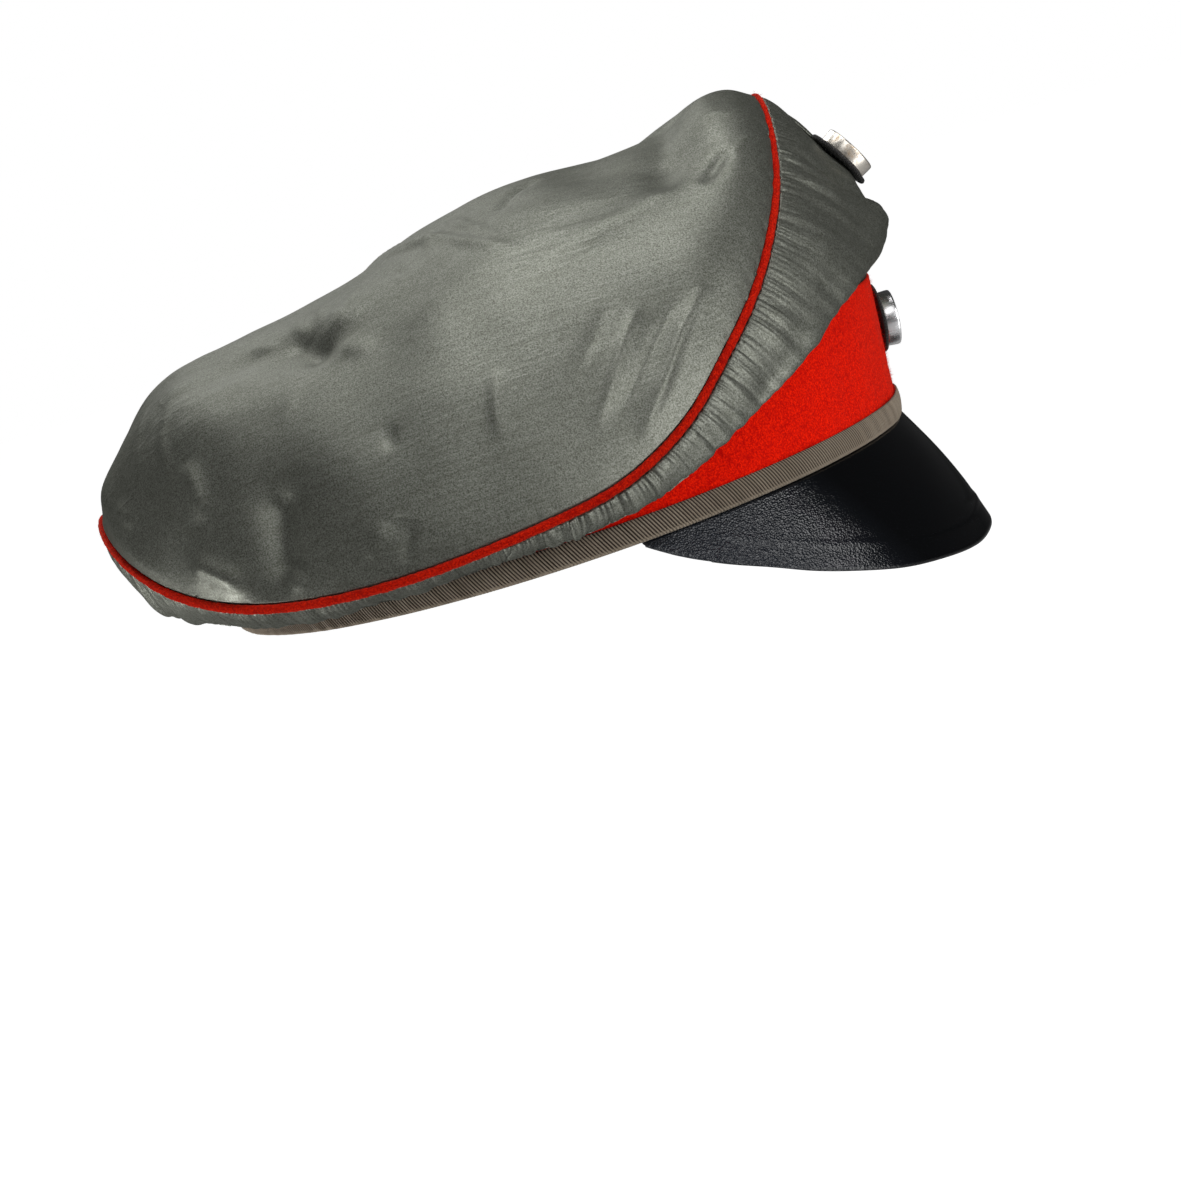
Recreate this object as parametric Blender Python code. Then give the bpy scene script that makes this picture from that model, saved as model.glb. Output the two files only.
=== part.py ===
"""A soft peaked cap: silk crown with a piped edge, wool band, leather visor and two cockades.

Metres, +Z up. The origin is the centre of the head opening, on the plane of the band's lower edge.
The visor points to -Y, and the wearer's right is -X. Angles run round the cap from the front, in
degrees: 0 is over the visor, 90 is the wearer's left, 180 is the back.
"""

from bisect import bisect_right
from math import acos, cos, pi, radians, sin

import bmesh
import bpy
import numpy as np
from mathutils import Vector

MM = 0.001
STEPS_ROUND = 48  # steps round the head
UP = Vector((0, 0, 1))

# The band: an egg-shaped oval, a little wider behind the ears, that leans out at the forehead.
BAND_HALF_LENGTH = 104.3 * MM
BAND_HALF_WIDTH = 85.6 * MM
BAND_EGG = 0.05
BAND_TOP = 42.5 * MM
BAND_LEAN = 3.0 * MM  # how much further out the band's top edge is at the front
BINDING_HEIGHT = 7.0 * MM

# The band's layers, each as (distance in from the band's outer face, thickness).
BINDING_LAYER = (0.0, 0.9 * MM)
CLOTH_LAYER = (1.2 * MM, 1.1 * MM)
STIFFENER_LAYER = (2.6 * MM, 0.8 * MM)
FLANGE_LAYER = (3.7 * MM, 0.8 * MM)
LINING_LAYER = (3.8 * MM, 0.5 * MM)
SWEATBAND_LAYER = (4.8 * MM, 1.0 * MM)
LAYER_FLOOR = 1.3 * MM  # the cloth and the stiffener stand on the binding's turned-in lip
SWEATBAND_TOP = 40.0 * MM
LINING_FLOOR = 38.0 * MM

# The crown's piped edge, in plan a rounded oval, and the side wall's lowest fold inside it.
PIPING_FRONT = -89.6 * MM
PIPING_BACK = 132.5 * MM
PIPING_HALF_WIDTH = 102.0 * MM
PIPING_ROUNDNESS = 2.15
PIPING_RADIUS = 1.25 * MM
PIPING_CLEARANCE = 1.9 * MM  # from the cord's centre to the silk on either side of it
FOLD_FRONT = -116.5 * MM
FOLD_BACK = 126.0 * MM
FOLD_HALF_WIDTH = 98.5 * MM
FOLD_ROUNDNESS = 2.1
NOSE_ROUNDNESS = 1.7  # the fold's front half is more pointed
SILK_THICKNESS = 0.8 * MM
SEAM_GAP = 0.35 * MM
FOLD_SHIFT = 8.4  # degrees that bring the fold and the band's top edge abreast of the piping
BAND_SHIFT = 12.5

# Heights in millimetres at angles from the front. The soft crown stands up at the forehead and
# droops over the ears almost to the band's lower edge.
PIPING_HEIGHT_KEYS = (
    (0, 101.2), (7, 98.0), (14, 89.6), (21, 79.6), (32, 65.6), (42, 52.7), (52, 40.8), (61, 29.5),
    (72, 20.2), (88, 15.2), (110, 13), (131, 16.8), (144, 23), (156, 31), (168, 38.5), (180, 42.5),
)
FOLD_HEIGHT_KEYS = (
    (0, 56.5), (12, 54), (23, 49.8), (31, 44.9), (38, 39.8), (50, 29.9), (61, 21.3), (73, 12.8),
    (83, 9.9), (98, 9.1), (116, 7.5), (130, 7.4), (145, 11), (158, 14.1), (180, 16.5),
)
# The direction in which the wall passes its fold, above the horizontal: straight up at the front.
FOLD_RISE_KEYS = ((0, 90), (20, 68), (40, 25), (55, 6), (70, 0), (180, 0))
# Heights of the crown's middle line, at millimetres behind the centre of the head opening.
RIDGE_KEYS = (
    (-89.6, 101.2), (-82, 105.2), (-74, 105), (-56, 99.4), (-40, 98), (-17, 98.6), (0, 97.7),
    (16, 94), (43, 86), (76, 80.4), (101, 76.3), (111, 70.2), (120, 62), (127, 53.5), (132.5, 42.5),
)

# The visor's lower edge: an oval in plan, and how far it hangs below the band.
VISOR_CENTRE = -8.0 * MM
VISOR_HALF_LENGTH = 113.0 * MM
VISOR_HALF_WIDTH = 87.0 * MM
VISOR_REACH = 82.5  # degrees either side of the front where it is sewn to the band
VISOR_SPREAD = 88 / 82.5  # the lower edge's angle over the sewn edge's
VISOR_DROP_KEYS = (
    (0, 40), (16, 39.9), (26, 39.8), (39, 37), (50, 33), (58, 28.3), (65, 23.3), (71, 18),
    (77, 12.7), (81, 8.5), (85, 3.9), (88, 2.4),
)
VISOR_THICKNESS = 0.8 * MM
VISOR_LINING_THICKNESS = 0.7 * MM
VISOR_LINING_REACH = 74.0
FLANGE_TOP = 12.0 * MM

# Cockades: heights of their centres on the middle line.
UPPER_COCKADE_HEIGHT = 75.0 * MM
LOWER_COCKADE_HEIGHT = 26.5 * MM
COCKADE_RING_RADIUS = 8.3 * MM
COCKADE_RING_DEPTH = 4.3 * MM
COCKADE_RING_WALL = 1.6 * MM
COCKADE_BACKING_RADIUS = 10.8 * MM
COCKADE_BACKING_THICKNESS = 0.9 * MM
COCKADE_GAP = 0.3 * MM
PRONG_WIDTH = 3.0 * MM
PRONG_THICKNESS = 0.5 * MM
PRONG_SPACING = 2.3 * MM
PRONG_REACH = 8.6 * MM


# ---------------------------------------------------------------- curves and points

def smooth_curve(keys, flat_ends=True):
    """A function through (place, value) keys, whose slope at each key comes from its neighbours."""
    places = [float(place) for place, _ in keys]
    values = [float(value) for _, value in keys]
    slopes = np.gradient(values, places)
    if flat_ends:
        slopes[0] = slopes[-1] = 0.0

    def value_at(place):
        place = min(max(place, places[0]), places[-1])
        left = min(bisect_right(places, place), len(places) - 1) - 1
        width = places[left + 1] - places[left]
        s = (place - places[left]) / width
        start = (1 + 2 * s) * (1 - s) ** 2 * values[left] + s * (1 - s) ** 2 * width * slopes[left]
        end = s * s * (3 - 2 * s) * values[left + 1] + s * s * (s - 1) * width * slopes[left + 1]
        return start + end

    return value_at


piping_height = smooth_curve(PIPING_HEIGHT_KEYS)
fold_height = smooth_curve(FOLD_HEIGHT_KEYS)
fold_rise = smooth_curve(FOLD_RISE_KEYS)
ridge_height = smooth_curve(RIDGE_KEYS, flat_ends=False)
visor_drop = smooth_curve(VISOR_DROP_KEYS)


def from_front(angle):
    """The same angle as 0 to 180 degrees on either side of the front."""
    return abs((angle + 180) % 360 - 180)


def signed_power(value, power):
    return abs(value) ** power * (1 if value >= 0 else -1)


def band_point(angle, inset, height, lean=True):
    """A point on the band's outline, moved in by inset."""
    t = radians(angle)
    out = -inset
    if lean:
        out += BAND_LEAN * height / BAND_TOP * (1 + cos(t)) / 2
    x = (BAND_HALF_WIDTH + out) * sin(t) * (1 - BAND_EGG * cos(t))
    y = -(BAND_HALF_LENGTH + out) * cos(t)
    return Vector((x, y, height))


def oval_point(angle, front, back, half_width, roundness, height):
    """A point on a rounded oval: 2 is an ellipse, and a larger roundness is squarer."""
    t = radians(angle)
    x = half_width * signed_power(sin(t), 2 / roundness)
    y = (front + back) / 2 - (back - front) / 2 * signed_power(cos(t), 2 / roundness)
    return Vector((x, y, height))


def piping_point(angle):
    height = piping_height(from_front(angle)) * MM
    return oval_point(angle, PIPING_FRONT, PIPING_BACK, PIPING_HALF_WIDTH, PIPING_ROUNDNESS, height)


def fold_point(angle):
    height = fold_height(from_front(angle)) * MM
    roundness = NOSE_ROUNDNESS if cos(radians(angle)) > 0 else FOLD_ROUNDNESS
    return oval_point(angle, FOLD_FRONT, FOLD_BACK, FOLD_HALF_WIDTH, roundness, height)


def outward(point_of, angle):
    """The horizontal direction away from the head, square to a closed outline."""
    along = point_of(angle + 1) - point_of(angle - 1)
    return Vector((along.y, -along.x, 0)).normalized()


def bezier(a, b, c, d, count):
    """Count points on a cubic curve, without its last point."""
    points = []
    for i in range(count):
        s = i / count
        points.append((1 - s) ** 3 * a + 3 * s * (1 - s) ** 2 * b + 3 * s * s * (1 - s) * c + s ** 3 * d)
    return points


def wall_path(angle):
    """The crown's side wall at one angle: from the band's top edge, round the fold, to the piping."""
    beside = sin(radians(angle))  # the crown's ovals lie further back than the band's
    fold_angle = angle + FOLD_SHIFT * beside
    start_angle = angle + BAND_SHIFT * beside
    start = band_point(start_angle, CLOTH_LAYER[0] + CLOTH_LAYER[1], BAND_TOP + 0.7 * MM)
    fold = fold_point(fold_angle)
    end = piping_point(angle)
    away = outward(fold_point, fold_angle)
    rise = radians(fold_rise(from_front(fold_angle)))
    over_fold = away * cos(rise) + UP * sin(rise)
    leave = radians(40)
    off_band = away * cos(leave) + UP * sin(leave)
    chord = end - fold
    span = chord.length
    chord = chord.normalized()
    mirrored = 2 * chord.dot(over_fold) * chord - over_fold
    arrive = chord + mirrored * 0.5
    seam = (piping_point(angle + 1) - piping_point(angle - 1)).normalized()
    arrive = (arrive - seam * arrive.dot(seam)).normalized()
    end = end - arrive * PIPING_CLEARANCE
    below = bezier(start, start + off_band * 5 * MM, fold - over_fold * 7 * MM, fold, 6)
    handle = over_fold * span * 0.10
    above = bezier(fold, fold + handle, end - arrive * span * 0.23, end, 6)
    return below + above + [end]


def top_point(x, y):
    """The crown's top panel over a place in plan: a saddle between the ridge and the piped edge."""
    middle = (PIPING_FRONT + PIPING_BACK) / 2
    half_length = (PIPING_BACK - PIPING_FRONT) / 2
    along = min(max((middle - y) / half_length, -1), 1)
    t = acos(signed_power(along, PIPING_ROUNDNESS / 2))
    half_width = PIPING_HALF_WIDTH * sin(t) ** (2 / PIPING_ROUNDNESS)
    across = min(abs(x) / max(half_width, 1e-9), 1)
    edge = piping_height(t * 180 / pi)
    height = edge + (ridge_height(y / MM) - edge) * (1 - across ** 2.2) ** 0.65
    return Vector((x, y, height * MM))


def top_path(angle, share=1.0, clear=0.0, rings=9):
    """The top panel at one angle, from share of the way out, less clear, to the middle."""
    edge = piping_point(angle)
    middle = Vector((0, (PIPING_FRONT + PIPING_BACK) / 2, 0))
    while (top_point(*(middle + (edge - middle) * share).xy) - edge).length < clear:
        share -= 0.0004
    path = []
    for ring in range(rings + 1):
        part = share * cos(pi / 2 * ring / rings)
        path.append(top_point(*(middle + (edge - middle) * part).xy))
    return path


def visor_path(angle):
    """The visor's upper face at one angle: from its lower edge up to the flange inside the band."""
    place = angle * VISOR_SPREAD
    t = radians(place)
    x = VISOR_HALF_WIDTH * sin(t)
    y = VISOR_CENTRE - VISOR_HALF_LENGTH * cos(t)
    edge = Vector((x, y, -visor_drop(abs(place)) * MM))
    top = band_point(angle, 0.4 * MM, -0.5 * MM, lean=False)
    corner = band_point(angle, FLANGE_LAYER[0], -0.45 * MM, lean=False)
    height = FLANGE_TOP * min(1, (VISOR_REACH - abs(angle)) / 8 + 0.3)
    flange = band_point(angle, FLANGE_LAYER[0], height, lean=False)
    bulge = outward(lambda at: band_point(at, 0, 0), angle) * (top - edge).length * 0.035
    path = [edge.lerp(top, s) + bulge * sin(pi * s) for s in (0, 0.12, 0.3, 0.55, 0.8)]
    return path + [top, corner, flange]


# ---------------------------------------------------------------- meshes

def finish(name, bm, material):
    mesh = bpy.data.meshes.new(name)
    bm.to_mesh(mesh)
    bm.free()
    mesh.materials.append(material)
    mesh.shade_smooth()
    mesh.set_sharp_from_angle(angle=radians(40))
    obj = bpy.data.objects.new(name, mesh)
    bpy.context.collection.objects.link(obj)
    return obj


def grid(rows, closed_rows, closed_columns=False):
    """Quads between rows of points. Points that coincide become one."""
    bm = bmesh.new()
    verts = [[bm.verts.new(point) for point in row] for row in rows]
    columns = len(rows[0])
    for i in range(len(rows) - (not closed_rows)):
        for j in range(columns - (not closed_columns)):
            here, after = verts[i], verts[(i + 1) % len(rows)]
            up = (j + 1) % columns
            bm.faces.new((here[j], after[j], after[up], here[up]))
    bmesh.ops.remove_doubles(bm, verts=bm.verts, dist=1e-6)
    return bm


def solidify(obj, thickness):
    modifier = obj.modifiers.new("thickness", "SOLIDIFY")
    modifier.thickness = thickness
    modifier.offset = -1
    modifier.use_even_offset = True
    modifier.use_rim = True


def sheet(name, rows, thickness, material, closed=True):
    """A sheet whose outer face runs through the rows, thickened inwards."""
    obj = finish(name, grid(rows, closed), material)
    solidify(obj, thickness)
    return obj


def moved_in(rows, distance):
    """The rows of an open sheet, moved in square to it."""
    points = np.array([[tuple(point) for point in row] for row in rows])
    round_head = np.gradient(points, axis=0)
    up_sheet = np.gradient(points, axis=1)
    normals = np.cross(round_head, up_sheet)
    normals /= np.linalg.norm(normals, axis=2, keepdims=True)
    return [[Vector(point) for point in row] for row in points - normals * distance]


def angles_round():
    return [360 * i / STEPS_ROUND for i in range(STEPS_ROUND)]


def angles_between(first, last, count):
    return [first + (last - first) * i / count for i in range(count + 1)]


def turned(name, profile, material, steps=32):
    """A round solid about local Z. The profile is (radius, height) pairs, anticlockwise."""
    on_axis = profile[0][0] == 0
    rows = []
    for i in range(steps):
        t = 2 * pi * i / steps
        rows.append([(r * cos(t), r * sin(t), h) for r, h in profile])
    bm = grid(rows, True, not on_axis)
    bmesh.ops.recalc_face_normals(bm, faces=bm.faces)
    return finish(name, bm, material)


def cut_slot(obj, cutter):
    slot = obj.modifiers.new("prong_slot", "BOOLEAN")
    slot.operation = "DIFFERENCE"
    slot.object = cutter


def paint(name, colour, roughness, metallic=0.0):
    material = bpy.data.materials.new(name)
    material.use_nodes = True
    shader = material.node_tree.nodes["Principled BSDF"]
    shader.inputs["Base Color"].default_value = (*colour, 1)
    shader.inputs["Roughness"].default_value = roughness
    shader.inputs["Metallic"].default_value = metallic
    return material


# ---------------------------------------------------------------- the band

def band_ring(name, layer, low, high, material, lean=True):
    rows = []
    for angle in angles_round():
        rows.append([band_point(angle, layer[0], height, lean) for height in (low, high)])
    return sheet(name, rows, layer[1], material)


def make_band():
    wool = paint("red_wool", (0.62, 0.03, 0.01), 0.9)
    cloth = band_ring("band_cloth", CLOTH_LAYER, LAYER_FLOOR, BAND_TOP - 0.5 * MM, wool)
    board = paint("buckram", (0.50, 0.42, 0.30), 0.85)
    stiffener = band_ring("band_stiffener", STIFFENER_LAYER, LAYER_FLOOR, BAND_TOP - MM, board)
    return cloth, stiffener


def make_binding():
    """The ribbed ribbon folded under the band's lower edge."""
    lip = STIFFENER_LAYER[0] + STIFFENER_LAYER[1]
    rows = []
    for angle in angles_round():
        path = [band_point(angle, lip, 0), band_point(angle, 0, 0)]
        rows.append(path + [band_point(angle, 0, BINDING_HEIGHT)])
    sheet("lower_binding", rows, BINDING_LAYER[1], paint("grosgrain", (0.12, 0.095, 0.07), 0.8))


def make_sweatband():
    leather = paint("sweat_leather", (0.36, 0.20, 0.10), 0.55)
    band_ring("sweatband", SWEATBAND_LAYER, 0, SWEATBAND_TOP, leather, lean=False)


def make_sweatband_bow():
    """The small ribbon bow over the sweatband's joint at the back."""
    half, waist, tall = 9 * MM, 2 * MM, 3 * MM
    outline = [(-half, -tall), (-waist, -MM), (waist, -MM), (half, -tall)]
    outline += [(half, tall), (waist, MM), (-waist, MM), (-half, tall)]
    y = BAND_HALF_LENGTH - SWEATBAND_LAYER[0] - SWEATBAND_LAYER[1] - 2.0 * MM
    bm = bmesh.new()
    bm.faces.new([bm.verts.new((x, y, 6 * MM + z)) for x, z in outline])
    obj = finish("sweatband_bow", bm, paint("bow_ribbon", (0.03, 0.03, 0.03), 0.7))
    solidify(obj, MM)


# ---------------------------------------------------------------- the visor

def make_visor():
    angles = angles_between(-VISOR_REACH, VISOR_REACH, 22)
    rows = [visor_path(angle) for angle in angles]
    lacquer = paint("black_lacquer", (0.008, 0.009, 0.013), 0.25)
    sheet("visor_shell", rows, VISOR_THICKNESS, lacquer, closed=False)
    inner = moved_in(rows, VISOR_THICKNESS + SEAM_GAP)
    lining = []
    for angle, row in zip(angles, inner):
        if abs(angle) < VISOR_LINING_REACH:
            low = row[0].lerp(row[1], 0.25)
            lining.append([low, row[1], row[2], row[3], row[4]])
    green = paint("visor_lining_leather", (0.03, 0.035, 0.025), 0.6)
    sheet("visor_lining", lining, VISOR_LINING_THICKNESS, green, closed=False)


# ---------------------------------------------------------------- the crown

def make_crown():
    silk = paint("field_grey_silk", (0.17, 0.18, 0.155), 0.45)
    rows = [top_path(angle, clear=PIPING_CLEARANCE) for angle in angles_round()]
    sheet("crown_top", rows, SILK_THICKNESS, silk)
    panels = {}
    # The panels meet, with a little left open between them, at the front, the sides and the back.
    quarters = (
        ("front_left", 0.4, 89.85), ("rear_left", 90.15, 179.8),
        ("rear_right", 180.2, 269.85), ("front_right", 270.15, 359.6),
    )
    for side, first, last in quarters:
        angles = angles_between(first, last, STEPS_ROUND // 4)
        rows = [wall_path(angle) for angle in angles]
        panels[side] = sheet(f"crown_side_{side}", rows, SILK_THICKNESS, silk, closed=False)
    return panels["front_left"], panels["front_right"]


def make_piping():
    """The wool cord sewn into the seam round the crown's edge."""
    curve = bpy.data.curves.new("crown_piping", "CURVE")
    curve.dimensions = "3D"
    curve.bevel_depth = PIPING_RADIUS
    curve.bevel_resolution = 2
    spline = curve.splines.new("POLY")
    spline.points.add(STEPS_ROUND - 1)
    for point, angle in zip(spline.points, angles_round()):
        point.co = (*piping_point(angle), 1)
    spline.use_cyclic_u = True
    curve.materials.append(paint("red_piping_wool", (0.50, 0.02, 0.01), 0.9))
    bpy.context.collection.objects.link(bpy.data.objects.new("crown_piping", curve))


def make_lining():
    """A cotton cap inside the crown: a round top and a wall down to the sweatband's upper edge."""
    cotton = paint("lining_cotton", (0.42, 0.36, 0.26), 0.8)
    share, hang = 0.80, UP * 4 * MM
    rows = [[point - hang for point in top_path(angle, share, rings=7)] for angle in angles_round()]
    sheet("crown_top_lining", rows, LINING_LAYER[1], cotton)
    walls = []
    for angle, top in zip(angles_round(), rows):
        foot = band_point(angle, LINING_LAYER[0], LINING_FLOOR)
        knee = band_point(angle, LINING_LAYER[0], BAND_TOP + 0.5 * MM)
        head = top[0] - UP * 1.3 * MM
        walls.append([foot, knee, knee.lerp(head, 0.5), head])
    sheet("crown_side_lining", walls, LINING_LAYER[1], cotton)


def make_front_stay():
    """The stiff strip behind the silk that holds the crown up at the forehead."""
    rows = [wall_path(angle)[4:12] for angle in angles_between(-15, 15, 4)]
    inner = moved_in(rows, SILK_THICKNESS + 0.5 * MM)
    board = paint("stay_buckram", (0.50, 0.42, 0.30), 0.85)
    return sheet("front_stay", inner, 0.9 * MM, board, closed=False)


# ---------------------------------------------------------------- the cockades

def on_front(height):
    """The point of the front's middle line at a height, and how far the surface there faces up."""
    line = [band_point(0, CLOTH_LAYER[0], 0), band_point(0, CLOTH_LAYER[0], BAND_TOP)]
    line += wall_path(0)[6:]
    for low, high in zip(line, line[1:]):
        if low.z <= height <= high.z:
            run = high - low
            place = low + run * ((height - low.z) / run.z)
            return place, np.arctan2(run.y, run.z)
    raise ValueError("no front there")


def make_cockade(name, height, through, centre_colour, layers_deep):
    """A metal ring round a wool centre on a ribbed disc, held by prongs through the cloth."""
    place, tilt = on_front(height)
    seat = COCKADE_BACKING_THICKNESS + 2 * COCKADE_GAP
    wool = paint(f"{name}_black_wool", (0.01, 0.01, 0.01), 0.95)
    r, deep = COCKADE_BACKING_RADIUS, COCKADE_BACKING_THICKNESS
    low, high = COCKADE_GAP, COCKADE_GAP + deep
    disc = [(0, low), (r, low), (r, high), (0, high)]
    backing = turned(f"{name}_backing", disc, wool)

    silver = paint(f"{name}_silver", (0.62, 0.60, 0.58), 0.3, 1.0)
    r, deep, wall = COCKADE_RING_RADIUS, COCKADE_RING_DEPTH, COCKADE_RING_WALL
    bevel = 0.5 * MM
    drum = [(r - wall, seat), (r, seat), (r, seat + deep - bevel), (r - bevel, seat + deep)]
    drum += [(r - wall + bevel, seat + deep), (r - wall, seat + deep - bevel)]
    ring = turned(f"{name}_ring", drum, silver)

    floor = seat + PRONG_THICKNESS + COCKADE_GAP
    inside = r - wall - COCKADE_GAP
    dome = [(0, floor), (inside, floor), (inside, floor + 2 * MM)]
    dome += [(inside * 0.75, floor + 2.6 * MM), (0, floor + 3 * MM)]
    centre = turned(f"{name}_centre", dome, paint(f"{name}_centre_wool", centre_colour, 0.95))

    prongs = make_prongs(name, seat, layers_deep)
    cutter = make_slot_cutter(name, layers_deep)
    for target in (backing, *through):
        cut_slot(target, cutter)
    for obj in (backing, ring, centre, prongs, cutter):
        obj.location = place
        obj.rotation_euler = (pi / 2 - tilt, 0, 0)


def make_prongs(name, seat, layers_deep):
    """One bent strip: a bar under the centre, and two legs that go through and spread."""
    back = -layers_deep - 0.4 * MM
    tip = back - 0.9 * MM
    side = [(PRONG_REACH, tip), (PRONG_SPACING, back), (PRONG_SPACING, seat + PRONG_THICKNESS)]
    path = side + [(-up, out) for up, out in reversed(side)]
    half = PRONG_WIDTH / 2
    rows = [[(x, up, out) for up, out in path] for x in (half, -half)]
    metal = paint(f"{name}_prong_steel", (0.55, 0.52, 0.45), 0.4, 1.0)
    return sheet(f"{name}_prongs", rows, PRONG_THICKNESS, metal, closed=False)


def make_slot_cutter(name, layers_deep):
    bm = bmesh.new()
    bmesh.ops.create_cube(bm, size=1)
    width = PRONG_WIDTH + 0.8 * MM
    length = 2 * PRONG_SPACING + 1.0 * MM
    bottom, top = -layers_deep - MM, 2.2 * MM
    bmesh.ops.scale(bm, vec=(width, length, top - bottom), verts=bm.verts)
    bmesh.ops.translate(bm, vec=(0, 0, (top + bottom) / 2), verts=bm.verts)
    cutter = finish(f"{name}_slot_cutter", bm, paint(f"{name}_cutter", (1, 0, 1), 0.5))
    cutter.hide_render = True
    cutter.display_type = "WIRE"
    return cutter


def clear_scene():
    for obj in list(bpy.data.objects):
        bpy.data.objects.remove(obj, do_unlink=True)


def main():
    clear_scene()
    cloth, stiffener = make_band()
    make_binding()
    make_sweatband()
    make_sweatband_bow()
    make_visor()
    front_left, front_right = make_crown()
    make_piping()
    make_lining()
    stay = make_front_stay()
    red, black = (0.45, 0.015, 0.01), (0.01, 0.01, 0.01)
    in_silk = (front_left, front_right, stay)
    make_cockade("upper_cockade", UPPER_COCKADE_HEIGHT, in_silk, red, 2.3 * MM)
    make_cockade("lower_cockade", LOWER_COCKADE_HEIGHT, (cloth, stiffener), black, 2.3 * MM)


main()
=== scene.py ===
"""The looks of the soft peaked cap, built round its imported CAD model.

The visor points to -Y and the wearer's right is -X, towards the camera. Shapes are worked out in
millimetres, and a mesh is made in metres. Angles run round the cap from the front, in degrees:
0 is over the visor, 90 is the wearer's left, 180 is the back, 270 is the wearer's right.
"""

import bpy
import numpy as np
from numpy import (
    arange, array, clip, concatenate, cos, interp, linspace, maximum, minimum, pi, radians, sin,
    sqrt, stack, zeros,
)
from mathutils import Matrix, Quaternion, Vector


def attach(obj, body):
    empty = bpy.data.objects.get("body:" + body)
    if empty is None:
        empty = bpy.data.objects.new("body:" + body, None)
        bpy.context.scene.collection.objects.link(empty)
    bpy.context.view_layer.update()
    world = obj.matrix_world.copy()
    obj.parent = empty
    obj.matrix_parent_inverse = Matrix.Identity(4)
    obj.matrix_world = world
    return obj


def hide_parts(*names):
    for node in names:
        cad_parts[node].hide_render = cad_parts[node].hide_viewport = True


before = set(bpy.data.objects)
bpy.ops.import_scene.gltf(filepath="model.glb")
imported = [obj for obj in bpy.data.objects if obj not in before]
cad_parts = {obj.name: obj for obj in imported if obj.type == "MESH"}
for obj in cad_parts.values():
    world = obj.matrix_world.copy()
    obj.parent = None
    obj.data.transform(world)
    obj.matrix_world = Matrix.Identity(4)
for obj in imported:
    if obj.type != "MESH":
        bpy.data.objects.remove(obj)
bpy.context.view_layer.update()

MM = 0.001
UP = array((0.0, 0.0, 1.0))
HEAD_FORM_HEIGHT = 0.33  # the cap is held this high above the floor, as on a head form

# ---- the outlines that the CAD has too

BAND_HALF_LENGTH = 104.3
BAND_HALF_WIDTH = 85.6
BAND_EGG = 0.05
BAND_TOP = 42.5
BAND_LEAN = 3.0
CLOTH_OUT = 1.2  # the band cloth's outer face, measured in from the binding's
CLOTH_IN = 2.3
VISOR_SEAM_INSET = 0.4
FLANGE_INSET = 3.7
LINING_INSET = 3.8
SWEATBAND_INSET = 4.8
SWEATBAND_THICKNESS = 1.0
SWEATBAND_TOP = 40.0
SWEATBAND_GIRTH = 561.0
BAND_GIRTH = 600.0
BINDING_GIRTH = 598.0
RIB_PITCH = 0.90
RIB_LEAN = 0.50  # how far a rib of the binding shifts along for each step up
LINING_SHARE = 0.79  # the lining's top is this much of the crown's in plan

PIPING_FRONT = -89.6
PIPING_BACK = 132.5
PIPING_HALF_WIDTH = 102.0
PIPING_ROUNDNESS = 2.15
PIPING_RADIUS = 1.25
PIPING_CLEARANCE = 1.9
PIPING_MIDDLE = (PIPING_FRONT + PIPING_BACK) / 2
PIPING_HALF_LENGTH = (PIPING_BACK - PIPING_FRONT) / 2
FOLD_FRONT = -116.5
FOLD_BACK = 126.0
FOLD_HALF_WIDTH = 98.5
FOLD_ROUNDNESS = 2.1
NOSE_ROUNDNESS = 1.7
FOLD_SHIFT = 8.4
BAND_SHIFT = 12.5
PIPING_HEIGHT_KEYS = (
    (0, 101.2), (7, 98.0), (14, 89.6), (21, 79.6), (32, 65.6), (42, 52.7), (52, 40.8), (61, 29.5),
    (72, 20.2), (88, 15.2), (110, 13), (131, 16.8), (144, 23), (156, 31), (168, 38.5), (180, 42.5),
)
FOLD_HEIGHT_KEYS = (
    (0, 56.5), (12, 54), (23, 49.8), (31, 44.9), (38, 39.8), (50, 29.9), (61, 21.3), (73, 12.8),
    (83, 9.9), (98, 9.1), (116, 7.5), (130, 7.4), (145, 11), (158, 14.1), (180, 16.5),
)
FOLD_RISE_KEYS = ((0, 90), (20, 68), (40, 25), (55, 6), (70, 0), (180, 0))
RIDGE_KEYS = (
    (-89.6, 101.2), (-82, 105.2), (-74, 105), (-56, 99.4), (-40, 98), (-17, 98.6), (0, 97.7),
    (16, 94), (43, 86), (76, 80.4), (101, 76.3), (111, 70.2), (120, 62), (127, 53.5), (132.5, 42.5),
)
VISOR_CENTRE = -8.0
VISOR_HALF_LENGTH = 113.0
VISOR_HALF_WIDTH = 87.0
VISOR_REACH = 82.5
VISOR_SPREAD = 88 / 82.5
VISOR_DROP_KEYS = (
    (0, 40), (16, 39.9), (26, 39.8), (39, 37), (50, 33), (58, 28.3), (65, 23.3), (71, 18),
    (77, 12.7), (81, 8.5), (85, 3.9), (88, 2.4),
)
VISOR_THICKNESS = 0.8
VISOR_LINING_REACH = 74.0
FLANGE_TOP = 12.0

# ---- how the cloth lies

SILK_THICKNESS = 0.35
TOP_CELLS = 200  # squares along each side of the grid over the crown's top
WALL_COLUMN_WIDTH = 0.35
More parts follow.
